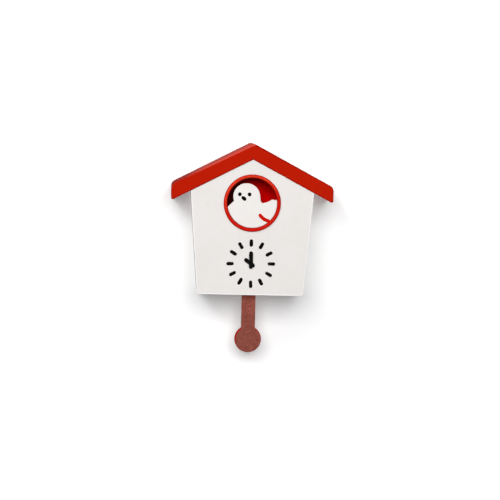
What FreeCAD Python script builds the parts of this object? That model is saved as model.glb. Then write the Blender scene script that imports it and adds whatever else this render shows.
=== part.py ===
"""A house-shaped wall cuckoo clock: painted case, quartz works, sliding bird and pendulum.

The frame: the wall is the plane Y = 0 and the clock stands out from it towards -Y, with +Z up.
The origin is the centre of the keyhole that hangs on the wall screw. "Depth" below is the
distance from the wall, so a depth of 84 is Y = -84. "Height" is measured from the lower edge of
the house, which lies hook_height under the origin. All lengths are in millimetres.
"""
import FreeCAD, Part
import math
import os
import re
import Sketcher

doc = FreeCAD.newDocument("CuckooClock")

# ---------------------------------------------------------------- sizes

SIZES = {
    # roof: two boards, mitred at the ridge
    "roof_span": 205.0, "roof_pitch": 27.6, "roof_board": 18.2, "roof_overhang": 1.5,
    "eave_round": 8.0, "eave_lower_round": 2.0, "ridge_round": 6.0,
    # house: heights from its lower edge, widths at that edge, sides leaning outwards
    "gable_height": 171.7, "house_width": 134.8, "side_lean": 4.64, "house_depth": 84.0,
    "front_board": 9.0, "side_board": 7.0, "floor_thickness": 7.0, "back_board": 4.0,
    "corner_round": 3.8, "hook_height": 140.0,
    # window, ring and niche
    "window_height": 116.7, "window_radius": 31.7, "ring_wall": 4.4, "ring_proud": 2.0,
    "ring_round": 1.0, "niche_gap": 1.8, "niche_wall": 1.6, "niche_depth": 30.0,
    "niche_flange": 4.0,
    # bird: a flat figure that fills the window and slides out through it
    "bird_gap": 0.4, "bird_thickness": 5.0, "bird_recess": 0.8, "paint_relief": 0.4,
    "eye_radius": 2.4, "wing_line": 4.5, "beak_long": 1.2, "beak_round": 2.3, "wing_radius": 18.0,
    # bird drive
    "rack_width": 8.0, "rack_height": 6.0, "rack_back": 14.0, "slide_gap": 0.3,
    "rack_module": 0.8, "rack_teeth": 11, "rack_pinion_teeth": 12, "rack_pinion_width": 6.0,
    "pinion_depth": 32.0, "motor_radius": 10.0, "motor_length": 25.0, "motor_start": 7.0,
    "motor_shaft": 1.5, "motor_bore_depth": 4.0, "bracket_thickness": 2.0, "bracket_foot": 16.0,
    "bracket_margin": 3.0, "bracket_hole_gap": 1.0, "tooth_root": 2.05, "tooth_trim": 0.1,
    "tooth_foot": 0.29, "tooth_land": 0.12,
    # dial and hands
    "dial_height": 40.0, "mark_ring": 26.2, "mark_length": 9.6, "mark_width": 4.4,
    "mark_relief": 0.4, "hand_width": 5.0, "hand_thickness": 0.6, "hand_gap": 0.35,
    "hub_radius": 2.5, "minute_reach": 15.8, "minute_tail": 6.4, "hour_reach": 10.2,
    "hour_tail": 6.0, "hour_angle": 53.0,
    # quartz works
    "works_width": 56.0, "works_depth": 18.0, "works_wall": 1.5, "nose_radius": 4.0,
    "nose_length": 5.0, "nose_gap": 0.1, "pipe_radius": 1.8, "pipe_gap": 0.2,
    "arbor_radius": 0.9, "running_gap": 0.06, "gear_module": 0.5, "cannon_teeth": 10, "motion_teeth": 30,
    "motion_pinion_teeth": 8, "hour_teeth": 32, "train_module": 0.3, "centre_teeth": 48,
    "third_pinion_teeth": 8, "third_teeth": 44, "wheel_thickness": 1.2, "shaft_radius": 1.2,
    "third_radius": 0.6, "coil_radius": 3.2, "coil_length": 22.0, "coil_inset": 9.0,
    "cheek_side": 7.0, "cheek_thickness": 1.2, "pilot_floor": 0.6, "works_screw_inset": 4.0,
    "works_screw_length": 3.0, "cannon_back": 5.4, "cannon_width": 1.6, "centre_lift": 7.0,
    "hour_back": 2.4, "third_lift": 3.5, "third_arbor": 8.5, "axle_play": 0.2,
    "arbor_past": 1.8, "arbor_run": 2.0, "arbor_start": 1.0, "stepper_gap": 0.5,
    "stepper_width": 12.0, "stepper_reach": 9.0, "stepper_half": 7.0, "tip_addendum": 0.85,
    "root_depth": 1.3,
    # setting knob
    "knob_radius": 6.5, "knob_hole_gap": 1.2, "knob_length": 6.0, "knob_set_in": 0.8,
    "knob_core_inset": 0.5, "flute_radius": 0.9, "flute_count": 16,
    # pendulum and its drive
    "pivot_height": 36.0, "pivot_radius": 1.2, "drive_width": 30.0, "drive_height": 22.0,
    "drive_depth": 10.0, "pendulum_depth": 41.0, "pendulum_thickness": 5.0, "rod_width": 17.8,
    "bob_radius": 17.2, "bob_drop": 60.3, "bush_radius": 3.0, "swing_angle": 7.0,
    "swing_gap": 1.0, "slot_play": 1.0, "drive_above": 6.0, "pin_seat": 5.0, "pin_past": 2.0,
    "strap_above": 2.0, "magnet_radius": 3.0, "magnet_length": 0.6, "magnet_drop": 11.0,
    # battery tray and sliding cover
    "tray_low": 8.0, "tray_height": 32.0, "tray_width": 58.0, "tray_depth": 17.0,
    "tray_wall": 1.5, "cell_radius": 7.2, "cell_length": 50.5, "contact_thickness": 0.8,
    "door_width": 60.0, "door_tongue": 2.0, "door_layer": 1.2, "door_gap": 0.3,
    "door_top": 41.0, "door_set_in": 0.2, "door_low": 0.5, "tongue_gap": 0.2, "tip_radius": 2.7,
    "tip_length": 1.2, "contact_half": 5.0,
    # hanger plate and fixings
    "hanger_width": 28.0, "hanger_height": 34.0, "hanger_thickness": 1.5, "keyhole_radius": 4.6,
    "keyhole_slot": 2.3, "keyhole_rise": 8.0, "screw_radius": 1.4, "screw_head": 2.8,
    "screw_length": 14.0, "screw_seat": 1.6, "plate_seat": 0.8, "plate_screw_inset": 4.0,
    "plate_screw_length": 5.0, "plate_rise": 2.0, "screw_room_gap": 1.4, "block_size": 12.0,
    "block_length": 20.0, "upper_block": 105.0,
    # cutting shapes run past the faces they open by this much
    "cut_past": 1.0,
    # sound and controls
    "board_width": 46.0, "board_height": 34.0, "board_thickness": 1.6, "board_depth": 12.0,
    "board_x": 36.0, "board_z": 84.0, "control_z": 92.0, "volume_x": 50.0, "button_x": 36.0,
    "switch_x": 22.0, "volume_radius": 5.0, "button_radius": 3.0, "button_travel": 1.5,
    "switch_travel": 3.5, "control_gap": 0.4, "speaker_radius": 18.0, "speaker_x": -38.0,
    "speaker_z": 84.0, "speaker_depth": 9.0, "speaker_rim": 3.0, "speaker_can_length": 7.0,
    "sound_hole": 1.6, "sound_ring": 6.0, "sensor_radius": 2.5, "sensor_x": -40.0,
    "sensor_inset": 12.0, "sensor_out": 0.8, "sensor_flange": 1.0, "sensor_head": 3.0,
    "chip_half": 6.0, "chip_low": 12.0, "chip_high": 2.0, "chip_thickness": 2.0,
    "post_radius": 2.0, "post_x": 19.0, "post_z": 13.0, "knob_clear": 0.4, "face_set_in": 0.8,
    "button_clear": 0.6, "button_set_in": 0.4, "switch_half": 3.0, "switch_high": 2.0,
    "switch_reach": 2.0, "switch_base": 4.0, "switch_base_high": 3.5, "switch_gap": 0.8,
}

sheet = doc.addObject("Spreadsheet::Sheet", "Sizes")
for row, (alias, value) in enumerate(SIZES.items(), start=1):
    sheet.set(f"A{row}", alias)
    sheet.set(f"B{row}", str(value))
    sheet.setAlias(f"B{row}", alias)
doc.recompute()


def linked(text):
    """The expression with each size's name turned into a reference to its cell."""
    def cell(match):
        word = match.group()
        return "Sizes." + word if word in SIZES else word
    return re.sub(r"[a-z_]+", cell, str(text))


def number(text):
    """The expression's value now, for first guesses and for loops."""
    value = sheet.evalExpression(linked(text))
    return float(getattr(value, "Value", value))


# ---------------------------------------------------------------- places worked out from the sizes

LEAN = "tan(side_lean)"
PITCH = "tan(roof_pitch)"
FRONT = "house_depth"
FRONT_BACK = "(house_depth - front_board)"
SIDE_WIDTH = "(side_board / cos(side_lean))"
BIRD_FRONT = "(house_depth + ring_proud - bird_recess)"
BIRD_BACK = f"({BIRD_FRONT} - bird_thickness)"
BIRD_RADIUS = "(window_radius - bird_gap)"
NICHE_BACK = f"({FRONT_BACK} - niche_depth)"
NICHE_RADIUS = "(window_radius + niche_gap)"
WORKS_BACK = f"({FRONT_BACK} - works_depth)"
WORKS_SPLIT = f"({FRONT_BACK} - works_depth / 2)"
GEAR_CENTRES = "((cannon_teeth + motion_teeth) / 2 * gear_module)"
TRAIN_CENTRES = "((centre_teeth + third_pinion_teeth) / 2 * train_module)"
RACK_LOW = "(window_height - rack_height / 2)"
PINION_HEIGHT = f"({RACK_LOW} + rack_module - rack_pinion_teeth * rack_module / 2)"
HOUR_HAND_BACK = "(house_depth + hand_gap)"
MINUTE_HAND_BACK = f"({HOUR_HAND_BACK} + hand_thickness + hand_gap)"
PENDULUM_FRONT = "(pendulum_depth + pendulum_thickness)"
VERTICAL_BOARD = "(roof_board / cos(roof_pitch))"
MOTION_HEIGHT = f"(dial_height + {GEAR_CENTRES})"
THIRD_HEIGHT = f"(dial_height - {TRAIN_CENTRES})"


def half_width(height, inset="0"):
    """Half the house's width at a height; the inset is measured level, inwards."""
    return f"(house_width / 2 - {inset} + ({height}) * {LEAN})"


def roof_line(across):
    """Height of the roof's underside at a distance from the middle."""
    return f"(gable_height - ({across}) * {PITCH})"


def shoulder(inset="0"):
    """Height at which the leaning side, moved in by the inset, meets the roof's underside."""
    return f"((gable_height - (house_width / 2 - {inset}) * {PITCH}) / (1 + {LEAN} * {PITCH}))"


# ---------------------------------------------------------------- building helpers

def bind(thing, links):
    """Ties properties to the sheet; each name may be a path such as Placement.Base.x."""
    for name, text in links.items():
        thing.setExpression(name, linked(text))


def new_body(label, across="0", height="0"):
    """A body whose own origin lies on the wall plane at the given place."""
    body = doc.addObject("PartDesign::Body", label)
    body.AllowCompound = True
    bind(body, {"Placement.Base.x": across, "Placement.Base.z": f"{height} - hook_height"})
    return body


def origin_feature(body, role):
    return [part for part in body.Origin.OriginFeatures if part.Role == role][0]


def arc_centre(start, end, radius):
    """Centre of the smaller arc; a positive radius turns to the left on the way."""
    middle = (start + end) * 0.5
    chord = end - start
    left = FreeCAD.Vector(-chord.y, chord.x, 0).normalize()
    rise = math.sqrt(max(radius * radius - chord.Length * chord.Length / 4, 0))
    return middle + left * math.copysign(rise, radius)


def sketch(body, name, plane="XZ_Plane", offset="0", loops=(), circles=()):
    """A sketch of closed loops and circles, tied to the sheet.

    A loop's corner is (x, y), or (x, y, radius) where the edge that leaves it is an arc: to the
    left of the way if the radius is positive. On XZ_Plane the offset is a depth.
    """
    drawing = body.newObject("Sketcher::SketchObject", name)
    drawing.AttachmentSupport = [(origin_feature(body, plane), "")]
    drawing.MapMode = "FlatFace"
    bind(drawing, {"AttachmentOffset.Base.z": offset})

    def fix(kind, element, point, text):
        index = drawing.addConstraint(Sketcher.Constraint(kind, -1, 1, element, point, number(text)))
        drawing.setExpression(f"Constraints[{index}]", linked(text))

    def fix_radius(element, text):
        index = drawing.addConstraint(Sketcher.Constraint("Radius", element, number(text)))
        drawing.setExpression(f"Constraints[{index}]", linked(text))

    for corners in loops:
        places = [FreeCAD.Vector(number(corner[0]), number(corner[1]), 0) for corner in corners]
        edges = []
        for index, corner in enumerate(corners):
            start = places[index]
            end = places[(index + 1) % len(places)]
            if len(corner) == 2:
                element = drawing.addGeometry(Part.LineSegment(start, end))
                edges.append((element, 1, 2))
                continue
            radius = number(corner[2])
            centre = arc_centre(start, end, radius)
            first, last = (start, end) if radius > 0 else (end, start)
            angles = [math.atan2(place.y - centre.y, place.x - centre.x) for place in (first, last)]
            circle = Part.Circle(centre, FreeCAD.Vector(0, 0, 1), abs(radius))
            element = drawing.addGeometry(Part.ArcOfCircle(circle, angles[0], angles[1]))
            edges.append((element, 1, 2) if radius > 0 else (element, 2, 1))
            fix_radius(element, f"abs({corner[2]})")
        for index, (element, start, end) in enumerate(edges):
            following = edges[(index + 1) % len(edges)]
            joined = Sketcher.Constraint("Coincident", element, end, following[0], following[1])
            drawing.addConstraint(joined)
            fix("DistanceX", element, start, corners[index][0])
            fix("DistanceY", element, start, corners[index][1])
    for across, up, radius in circles:
        centre = FreeCAD.Vector(number(across), number(up), 0)
        circle = Part.Circle(centre, FreeCAD.Vector(0, 0, 1), number(radius))
        element = drawing.addGeometry(circle)
        fix("DistanceX", element, 3, across)
        fix("DistanceY", element, 3, up)
        fix_radius(element, radius)
    return drawing


def pad(body, name, length, **drawn):
    """Thickness added in front of a sketch; on XZ_Plane it grows away from the wall."""
    feature = body.newObject("PartDesign::Pad", name)
    feature.Profile = sketch(body, name + "_outline", **drawn)
    bind(feature, {"Length": length})
    doc.recompute()
    return feature


def pocket(body, name, length, **drawn):
    """A cut behind a sketch; on XZ_Plane it goes from the offset's depth towards the wall."""
    before = body.Shape.Volume
    feature = body.newObject("PartDesign::Pocket", name)
    feature.Profile = sketch(body, name + "_outline", **drawn)
    bind(feature, {"Length": length})
    doc.recompute()
    if body.Shape.Volume >= before:
        raise RuntimeError(f"{body.Label}: {name} cuts nothing")
    return feature


def edges_where(shape, test):
    """Names of the straight or round edges whose middle point and direction pass the test."""
    names = []
    for index, edge in enumerate(shape.Edges, start=1):
        middle = edge.valueAt((edge.FirstParameter + edge.LastParameter) / 2)
        if test(middle, edge):
            names.append(f"Edge{index}")
    return names


def fillet(body, name, radius, test):
    """Rounds the edges of the body's tip that pass the test."""
    base = body.Tip
    names = edges_where(base.Shape, test)
    if not names:
        raise RuntimeError(f"{body.Label}: no edge for {name}")
    feature = body.newObject("PartDesign::Fillet", name)
    feature.Base = (base, names)
    bind(feature, {"Radius": radius})
    doc.recompute()
    return feature


def runs_along_depth(edge):
    """Whether a straight edge runs from the wall towards the front."""
    ends = [vertex.Point for vertex in edge.Vertexes]
    if len(ends) != 2:
        return False
    across = math.hypot(ends[0].x - ends[1].x, ends[0].z - ends[1].z)
    return across < 0.001 and abs(ends[0].y - ends[1].y) > 0.001


def box(name, across, depth, height):
    """A block from three (low, high) pairs of expressions."""
    block = doc.addObject("Part::Box", name)
    bind(block, {
        "Length": f"({across[1]}) - ({across[0]})",
        "Width": f"({depth[1]}) - ({depth[0]})",
        "Height": f"({height[1]}) - ({height[0]})",
        "Placement.Base.x": across[0],
        "Placement.Base.y": f"-({depth[1]})",
        "Placement.Base.z": f"{height[0]} - hook_height",
    })
    return block


TURNS = {
    "x": FreeCAD.Rotation(FreeCAD.Vector(0, 1, 0), 90),
    "y": FreeCAD.Rotation(FreeCAD.Vector(1, 0, 0), -90),
    "z": FreeCAD.Rotation(),
}


def rod(name, axis, place, radius, length):
    """A round bar from a place (across, depth, height): rightwards, towards the wall, or up."""
    bar = doc.addObject("Part::Cylinder", name)
    bar.Placement = FreeCAD.Placement(FreeCAD.Vector(), TURNS[axis])
    bind(bar, {
        "Radius": radius,
        "Height": length,
        "Placement.Base.x": place[0],
        "Placement.Base.y": f"-({place[1]})",
        "Placement.Base.z": f"{place[2]} - hook_height",
    })
    return bar


def fuse(name, *shapes):
    joined = doc.addObject("Part::MultiFuse", name)
    joined.Shapes = list(shapes)
    return joined


def cut(name, base, *tools):
    """The base less the tools; a cut that removes nothing is an error."""
    tool = tools[0] if len(tools) == 1 else fuse(name + "_tools", *tools)
    result = doc.addObject("Part::Cut", name)
    result.Base = base
    result.Tool = tool
    doc.recompute()
    if result.Shape.Volume >= base.Shape.Volume:
        raise RuntimeError(f"{name}: its cut removes nothing")
    return result


def group(name, shapes):
    """Several like pieces that share one node."""
    together = doc.addObject("Part::Compound", name)
    together.Links = list(shapes)
    return together


def gear(body, name, module, teeth, face, width, phase=0.0, plane="XZ_Plane", axis="Y_Axis"):
    """A clock gear: radial flanks under the pitch circle, pointed above it.

    The first tooth points up when the phase, in degrees, is zero. The face is the offset of the
    side nearest the plane.
    """
    root = f"({module} * ({teeth} / 2 - root_depth))"
    pitch = f"({module} * {teeth} / 2)"
    tip = f"({module} * ({teeth} / 2 + tip_addendum))"
    half = f"(78 / ({teeth}))"
    pad(body, name + "_disc", width, plane=plane, offset=face, circles=[("0", "0", root)])
    inner = f"({root} - 0.3 * {module})"
    tip_half = f"(11 / ({teeth}))"
    profile = [(inner, f"-{half}"), (pitch, f"-{half}"), (tip, f"-{tip_half}"),
               (tip, tip_half), (pitch, half), (inner, half)]
    corners = [(f"{r} * sin({phase} + {a})", f"{r} * cos({phase} + {a})") for r, a in profile]
    tooth = pad(body, name + "_tooth", width, plane=plane, offset=face, loops=[corners])
    ring = body.newObject("PartDesign::PolarPattern", name + "_teeth")
    ring.Originals = [tooth]
    ring.Axis = (origin_feature(body, axis), [""])
    ring.Angle = 360
    bind(ring, {"Occurrences": teeth})
    body.Tip = ring
    doc.recompute()
    return ring


nodes = []


def node(piece):
    """Marks a finished sub-part; its label names its file."""
    nodes.append(piece)
    return piece


# ---------------------------------------------------------------- roof

def roof_board(label, side):
    """One roof board, side -1 on the left and 1 on the right, with a plumb eave."""
    body = new_body(label)
    eave = f"{side} * roof_span / 2"
    ridge = f"(gable_height + {VERTICAL_BOARD} - ridge_round / cos(roof_pitch))"
    low = roof_line("roof_span / 2")
    # across, height and radius; the ridge is an arc level at the middle
    corners = [
        ("0", "gable_height"),
        (eave, low),
        (eave, f"{low} + {VERTICAL_BOARD}"),
        (f"{side} * ridge_round * sin(roof_pitch)", f"{ridge} + ridge_round * cos(roof_pitch)",
         f"{side} * ridge_round"),
        ("0", f"{ridge} + ridge_round"),
    ]
    pad(body, "board", "house_depth + roof_overhang", loops=[corners])
    tip_x = number(eave)
    tip_z = number(low) + number(VERTICAL_BOARD)

    def upper_eave(middle, edge):
        near = abs(middle.x - tip_x) < 0.01 and abs(middle.z - tip_z) < 0.01
        return near and runs_along_depth(edge)

    def lower_eave(middle, edge):
        near = abs(middle.x - tip_x) < 0.01 and abs(middle.z - number(low)) < 0.01
        return near and runs_along_depth(edge)

    fillet(body, "eave", "eave_round", upper_eave)
    fillet(body, "lower_eave", "eave_lower_round", lower_eave)
    return node(body)


roof_board("roof_left", -1)
roof_board("roof_right", 1)


# ---------------------------------------------------------------- house

def gable_outline(inset="0"):
    """The five-sided house outline, with the sides moved in by the inset."""
    top = shoulder(inset)
    return [
        (f"-{half_width('0', inset)}", "0"),
        (half_width("0", inset), "0"),
        (half_width(top, inset), top),
        ("0", "gable_height"),
        (f"-{half_width(top, inset)}", top),
    ]


front = new_body("front_panel")
pad(front, "board", "front_board", offset=FRONT_BACK, loops=[gable_outline()])
pocket(front, "window", "front_board", offset=FRONT,
       circles=[("0", "window_height", "window_radius + ring_wall")])
pocket(front, "pipe_hole", "front_board", offset=FRONT,
       circles=[("0", "dial_height", "pipe_radius + pipe_gap")])
pocket(front, "nose_seat", "nose_length", offset=f"{FRONT_BACK} + nose_length",
       circles=[("0", "dial_height", "nose_radius + nose_gap")])
low_corner = number("house_width / 2")


def lower_corners(middle, edge):
    return abs(middle.z) < 0.01 and abs(abs(middle.x) - low_corner) < 0.01 and runs_along_depth(edge)


fillet(front, "lower_corners", "corner_round", lower_corners)
node(front)


def side_wall(label, side):
    """A leaning side wall between the wall plane and the front panel."""
    body = new_body(label)
    top = shoulder()
    inner_top = shoulder(SIDE_WIDTH)
    corners = [
        (f"{side} * {half_width('0')}", "0"),
        (f"{side} * {half_width(top)}", top),
        (f"{side} * {half_width(inner_top, SIDE_WIDTH)}", inner_top),
        (f"{side} * {half_width('0', SIDE_WIDTH)}", "0"),
    ]
    pad(body, "wall", FRONT_BACK, loops=[corners])
    foot = number(half_width("0"))

    def foot_edge(middle, edge):
        near = abs(middle.z) < 0.01 and abs(abs(middle.x) - foot) < 0.01
        return near and runs_along_depth(edge)

    fillet(body, "foot", "corner_round", foot_edge)
    return node(body)


side_wall("side_left", -1)
side_wall("side_right", 1)

# the floor, with the slot that the pendulum rod swings in
SLOT_HALF = "(rod_width / 2 / cos(swing_angle) + pivot_height * tan(swing_angle) + swing_gap)"
floor = new_body("floor_board")
floor_inner = half_width("0", SIDE_WIDTH)
floor_top = half_width("floor_thickness", SIDE_WIDTH)
pad(floor, "board", f"{FRONT_BACK} - back_board", offset="back_board", loops=[[
    (f"-{floor_inner}", "0"), (floor_inner, "0"),
    (floor_top, "floor_thickness"), (f"-{floor_top}", "floor_thickness"),
]])
slot_low = "pendulum_depth - swing_gap - slot_play"
slot_high = f"{PENDULUM_FRONT} + swing_gap + slot_play"
pocket(floor, "pendulum_slot", "floor_thickness", plane="XY_Plane", offset="floor_thickness",
       loops=[[(f"-{SLOT_HALF}", f"-({slot_high})"), (SLOT_HALF, f"-({slot_high})"),
               (SLOT_HALF, f"-({slot_low})"), (f"-{SLOT_HALF}", f"-({slot_low})")]])
pocket(floor, "sensor_hole", "floor_thickness", plane="XY_Plane", offset="floor_thickness",
       circles=[("sensor_x", f"-({FRONT_BACK} - sensor_inset)", "sensor_radius")])
node(floor)


# ---------------------------------------------------------------- back panel, hanger and screws

HANGER_LOW = "(hook_height - hanger_height / 2 + plate_rise)"
HANGER_SCREWS = [("-hanger_width / 2 + plate_screw_inset", f"{HANGER_LOW} + plate_screw_inset"),
                 ("hanger_width / 2 - plate_screw_inset", f"{HANGER_LOW} + plate_screw_inset"),
                 ("0", f"{HANGER_LOW} + hanger_height - plate_screw_inset")]
BLOCK_PLACES = [(side, low) for side in (-1, 1) for low in ("floor_thickness", "upper_block")]


def block_middle(side, low):
    """Where a corner block's screw goes in."""
    across = f"{side} * ({half_width(low, SIDE_WIDTH)} - block_size / 2)"
    return across, f"{low} + block_length / 2"


back = new_body("back_panel")
pad(back, "board", "back_board", loops=[gable_outline(SIDE_WIDTH)])
pocket(back, "hanger_seat", "hanger_thickness", offset="hanger_thickness", loops=[[
    ("-hanger_width / 2", HANGER_LOW), ("hanger_width / 2", HANGER_LOW),
    ("hanger_width / 2", f"{HANGER_LOW} + hanger_height"),
    ("-hanger_width / 2", f"{HANGER_LOW} + hanger_height"),
]])
SCREW_ROOM = "(keyhole_radius + screw_room_gap)"
pocket(back, "screw_room", "back_board", offset="back_board", loops=[[
    (f"-{SCREW_ROOM}", "hook_height", SCREW_ROOM), ("0", f"hook_height - {SCREW_ROOM}", SCREW_ROOM),
    (SCREW_ROOM, "hook_height"),
    (SCREW_ROOM, "hook_height + keyhole_rise", SCREW_ROOM),
    ("0", f"hook_height + keyhole_rise + {SCREW_ROOM}", SCREW_ROOM),
    (f"-{SCREW_ROOM}", "hook_height + keyhole_rise"),
]])
pocket(back, "hanger_screw_holes", "back_board", offset="back_board",
       circles=[(x, z, "screw_radius") for x, z in HANGER_SCREWS])
pocket(back, "block_screw_holes", "back_board", offset="back_board",
       circles=[(*block_middle(side, low), "screw_radius") for side, low in BLOCK_PLACES])
pocket(back, "block_screw_seats", "screw_seat", offset="screw_seat",
       circles=[(*block_middle(side, low), "screw_head") for side, low in BLOCK_PLACES])
DOOR_HALF = "(door_width / 2)"
TONGUE_HALF = "(door_width / 2 + door_tongue)"


def door_recess(name, half, length, offset):
    pocket(back, name, length, offset=offset, loops=[[
        (f"-{half}", "-cut_past"), (half, "-cut_past"), (half, "door_top"),
        (f"-{half}", "door_top"),
    ]])


door_recess("door_mouth", DOOR_HALF, "door_layer", "door_layer")
door_recess("door_groove", TONGUE_HALF, "door_layer", "2 * door_layer")
CELL_ROOM_LOW = "(tray_low + tray_wall)"
CELL_ROOM_HIGH = "(tray_low + tray_height - tray_wall)"
CELL_ROOM_HALF = "(tray_width / 2 - tray_wall)"
pocket(back, "tray_opening", "back_board", offset="back_board", loops=[[
    (f"-{CELL_ROOM_HALF}", CELL_ROOM_LOW), (CELL_ROOM_HALF, CELL_ROOM_LOW),
    (CELL_ROOM_HALF, CELL_ROOM_HIGH), (f"-{CELL_ROOM_HALF}", CELL_ROOM_HIGH),
]])
pocket(back, "knob_hole", "back_board", offset="back_board",
       circles=[("0", MOTION_HEIGHT, "knob_radius + knob_hole_gap")])
pocket(back, "control_holes", "back_board", offset="back_board",
       circles=[("volume_x", "control_z", "volume_radius + control_gap"),
                ("button_x", "control_z", "button_radius + control_gap")])
SWITCH_HALF = "(switch_half + switch_travel + control_gap)"
pocket(back, "switch_slot", "back_board", offset="back_board", loops=[[
    (f"switch_x - {SWITCH_HALF}", "control_z - switch_high - control_gap"),
    (f"switch_x + {SWITCH_HALF}", "control_z - switch_high - control_gap"),
    (f"switch_x + {SWITCH_HALF}", "control_z + switch_high + control_gap"),
    (f"switch_x - {SWITCH_HALF}", "control_z + switch_high + control_gap"),
]])
SOUND_HOLES = [("speaker_x", "speaker_z")]
SOUND_HOLES += [(f"speaker_x + {ring} * sound_ring * cos({turn})",
                 f"speaker_z + {ring} * sound_ring * sin({turn})")
                for ring, count in ((1, 6), (2, 12)) for turn in range(0, 360, 360 // count)]
pocket(back, "sound_holes", "back_board", offset="back_board",
       circles=[(x, z, "sound_hole") for x, z in SOUND_HOLES])
node(back)

hanger = new_body("hanger_plate")
pad(hanger, "plate", "hanger_thickness", loops=[[
    ("-hanger_width / 2", HANGER_LOW), ("hanger_width / 2", HANGER_LOW),
    ("hanger_width / 2", f"{HANGER_LOW} + hanger_height"),
    ("-hanger_width / 2", f"{HANGER_LOW} + hanger_height"),
]])
pocket(hanger, "keyhole", "hanger_thickness", offset="hanger_thickness",
       circles=[("0", "hook_height", "keyhole_radius")])
pocket(hanger, "neck_slot", "hanger_thickness", offset="hanger_thickness", loops=[[
    ("-keyhole_slot", "hook_height"), ("keyhole_slot", "hook_height"),
    ("keyhole_slot", "hook_height + keyhole_rise", "keyhole_slot"),
    ("0", "hook_height + keyhole_rise + keyhole_slot", "keyhole_slot"),
    ("-keyhole_slot", "hook_height + keyhole_rise"),
]])
pocket(hanger, "screw_holes", "hanger_thickness", offset="hanger_thickness",
       circles=[(x, z, "screw_radius") for x, z in HANGER_SCREWS])
pocket(hanger, "screw_seats", "plate_seat", offset="plate_seat",
       circles=[(x, z, "screw_head") for x, z in HANGER_SCREWS])
node(hanger)


def screw(name, place, head_height, length):
    """A screw driven from the wall side: a flat head flush with the wall, and a plain shank."""
    across, height = place
    head = rod(name + "_head", "y", (across, head_height, height), "screw_head", head_height)
    shank = rod(name + "_shank", "y", (across, length, height), "screw_radius",
                f"{length} - {head_height}")
    return fuse(name, head, shank)


node(group("hanger_screws", [screw(f"hanger_screw_{i}", place, "plate_seat", "plate_screw_length")
                             for i, place in enumerate(HANGER_SCREWS)]))
node(group("back_screws", [screw(f"back_screw_{i}", block_middle(*place), "screw_seat",
                                 "screw_length")
                           for i, place in enumerate(BLOCK_PLACES)]))

blocks = []
for index, (side, low) in enumerate(BLOCK_PLACES):
    block = new_body(f"corner_block_{index}")
    high = f"({low} + block_length)"
    inner = f"({half_width(low, SIDE_WIDTH)} - block_size)"
    pad(block, "block", "block_length", offset="back_board", loops=[[
        (f"{side} * {inner}", low), (f"{side} * {half_width(low, SIDE_WIDTH)}", low),
        (f"{side} * {half_width(high, SIDE_WIDTH)}", high), (f"{side} * {inner}", high),
    ]])
    pocket(block, "pilot_hole", "screw_length - back_board", offset="screw_length",
           circles=[(*block_middle(side, low), "screw_radius")])
    blocks.append(block)
node(group("corner_blocks", blocks))


# ---------------------------------------------------------------- window ring and niche

ring = new_body("window_ring")
pad(ring, "tube", f"{FRONT} + ring_proud - {FRONT_BACK}", offset=FRONT_BACK,
    circles=[("0", "window_height", "window_radius + ring_wall"),
             ("0", "window_height", "window_radius")])
ring_front = -number("house_depth + ring_proud")


def front_rims(middle, edge):
    return abs(middle.y - ring_front) < 0.01


fillet(ring, "rim", "ring_round", front_rims)
node(ring)

SLOT_X = "(rack_width / 2 + slide_gap)"
SLOT_Z = "(rack_height / 2 + slide_gap)"
niche = new_body("bird_niche")
pad(niche, "cup", "niche_depth", offset=NICHE_BACK,
    circles=[("0", "window_height", f"{NICHE_RADIUS} + niche_wall")])
pad(niche, "flange", "niche_wall", offset=f"{FRONT_BACK} - niche_wall",
    circles=[("0", "window_height", f"{NICHE_RADIUS} + niche_wall + niche_flange")])
pocket(niche, "room", "niche_depth - niche_wall", offset=FRONT_BACK,
       circles=[("0", "window_height", NICHE_RADIUS)])
pocket(niche, "rack_slot", "niche_wall", offset=f"{NICHE_BACK} + niche_wall", loops=[[
    (f"-{SLOT_X}", f"window_height - {SLOT_Z}"), (SLOT_X, f"window_height - {SLOT_Z}"),
    (SLOT_X, f"window_height + {SLOT_Z}"), (f"-{SLOT_X}", f"window_height + {SLOT_Z}"),
]])
node(niche)


# ---------------------------------------------------------------- bird

# places on the bird are in parts of its radius; the outline: nape, head, back, tail, belly
bird = new_body("bird", height="window_height")
BIRD_CORNERS = [
    ("cos(190)", "sin(190)"), ("-0.740", "0.075", "-0.535"), ("-0.224", "0.796", "-0.55"),
    ("0.320", "0.255"), ("0.331", "0.125", "0.118"), ("0.452", "0.010", "0.79"),
    ("0.775", "0.150", "-0.07"), ("0.835", "0.157"), ("cos(7.7)", "sin(7.7)", "-1"),
    ("0", "-1", "-1"),
]


def on_bird(corner):
    return tuple(f"(({part}) * {BIRD_RADIUS})" for part in corner)


pad(bird, "figure", "bird_thickness", offset=BIRD_BACK, loops=[[on_bird(c) for c in BIRD_CORNERS]])
node(bird)

EYES = [on_bird(("-0.511", "0.348")), on_bird(("-0.118", "0.351"))]
node(group("bird_eyes", [rod(f"eye_{i}", "y", (x, f"{BIRD_FRONT} + paint_relief",
                                               f"window_height + {z}"),
                             "eye_radius", "paint_relief") for i, (x, z) in enumerate(EYES)]))

# an oval beak, its long way turned down to the right
beak = new_body("bird_beak", height="window_height")
BEAK_X, BEAK_Z = on_bird(("-0.348", "0.189"))
BEAK_TURN = "-40"


def on_beak(along, up):
    return (f"{BEAK_X} + {along} * cos({BEAK_TURN}) - {up} * sin({BEAK_TURN})",
            f"{BEAK_Z} + {along} * sin({BEAK_TURN}) + {up} * cos({BEAK_TURN})")


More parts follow.
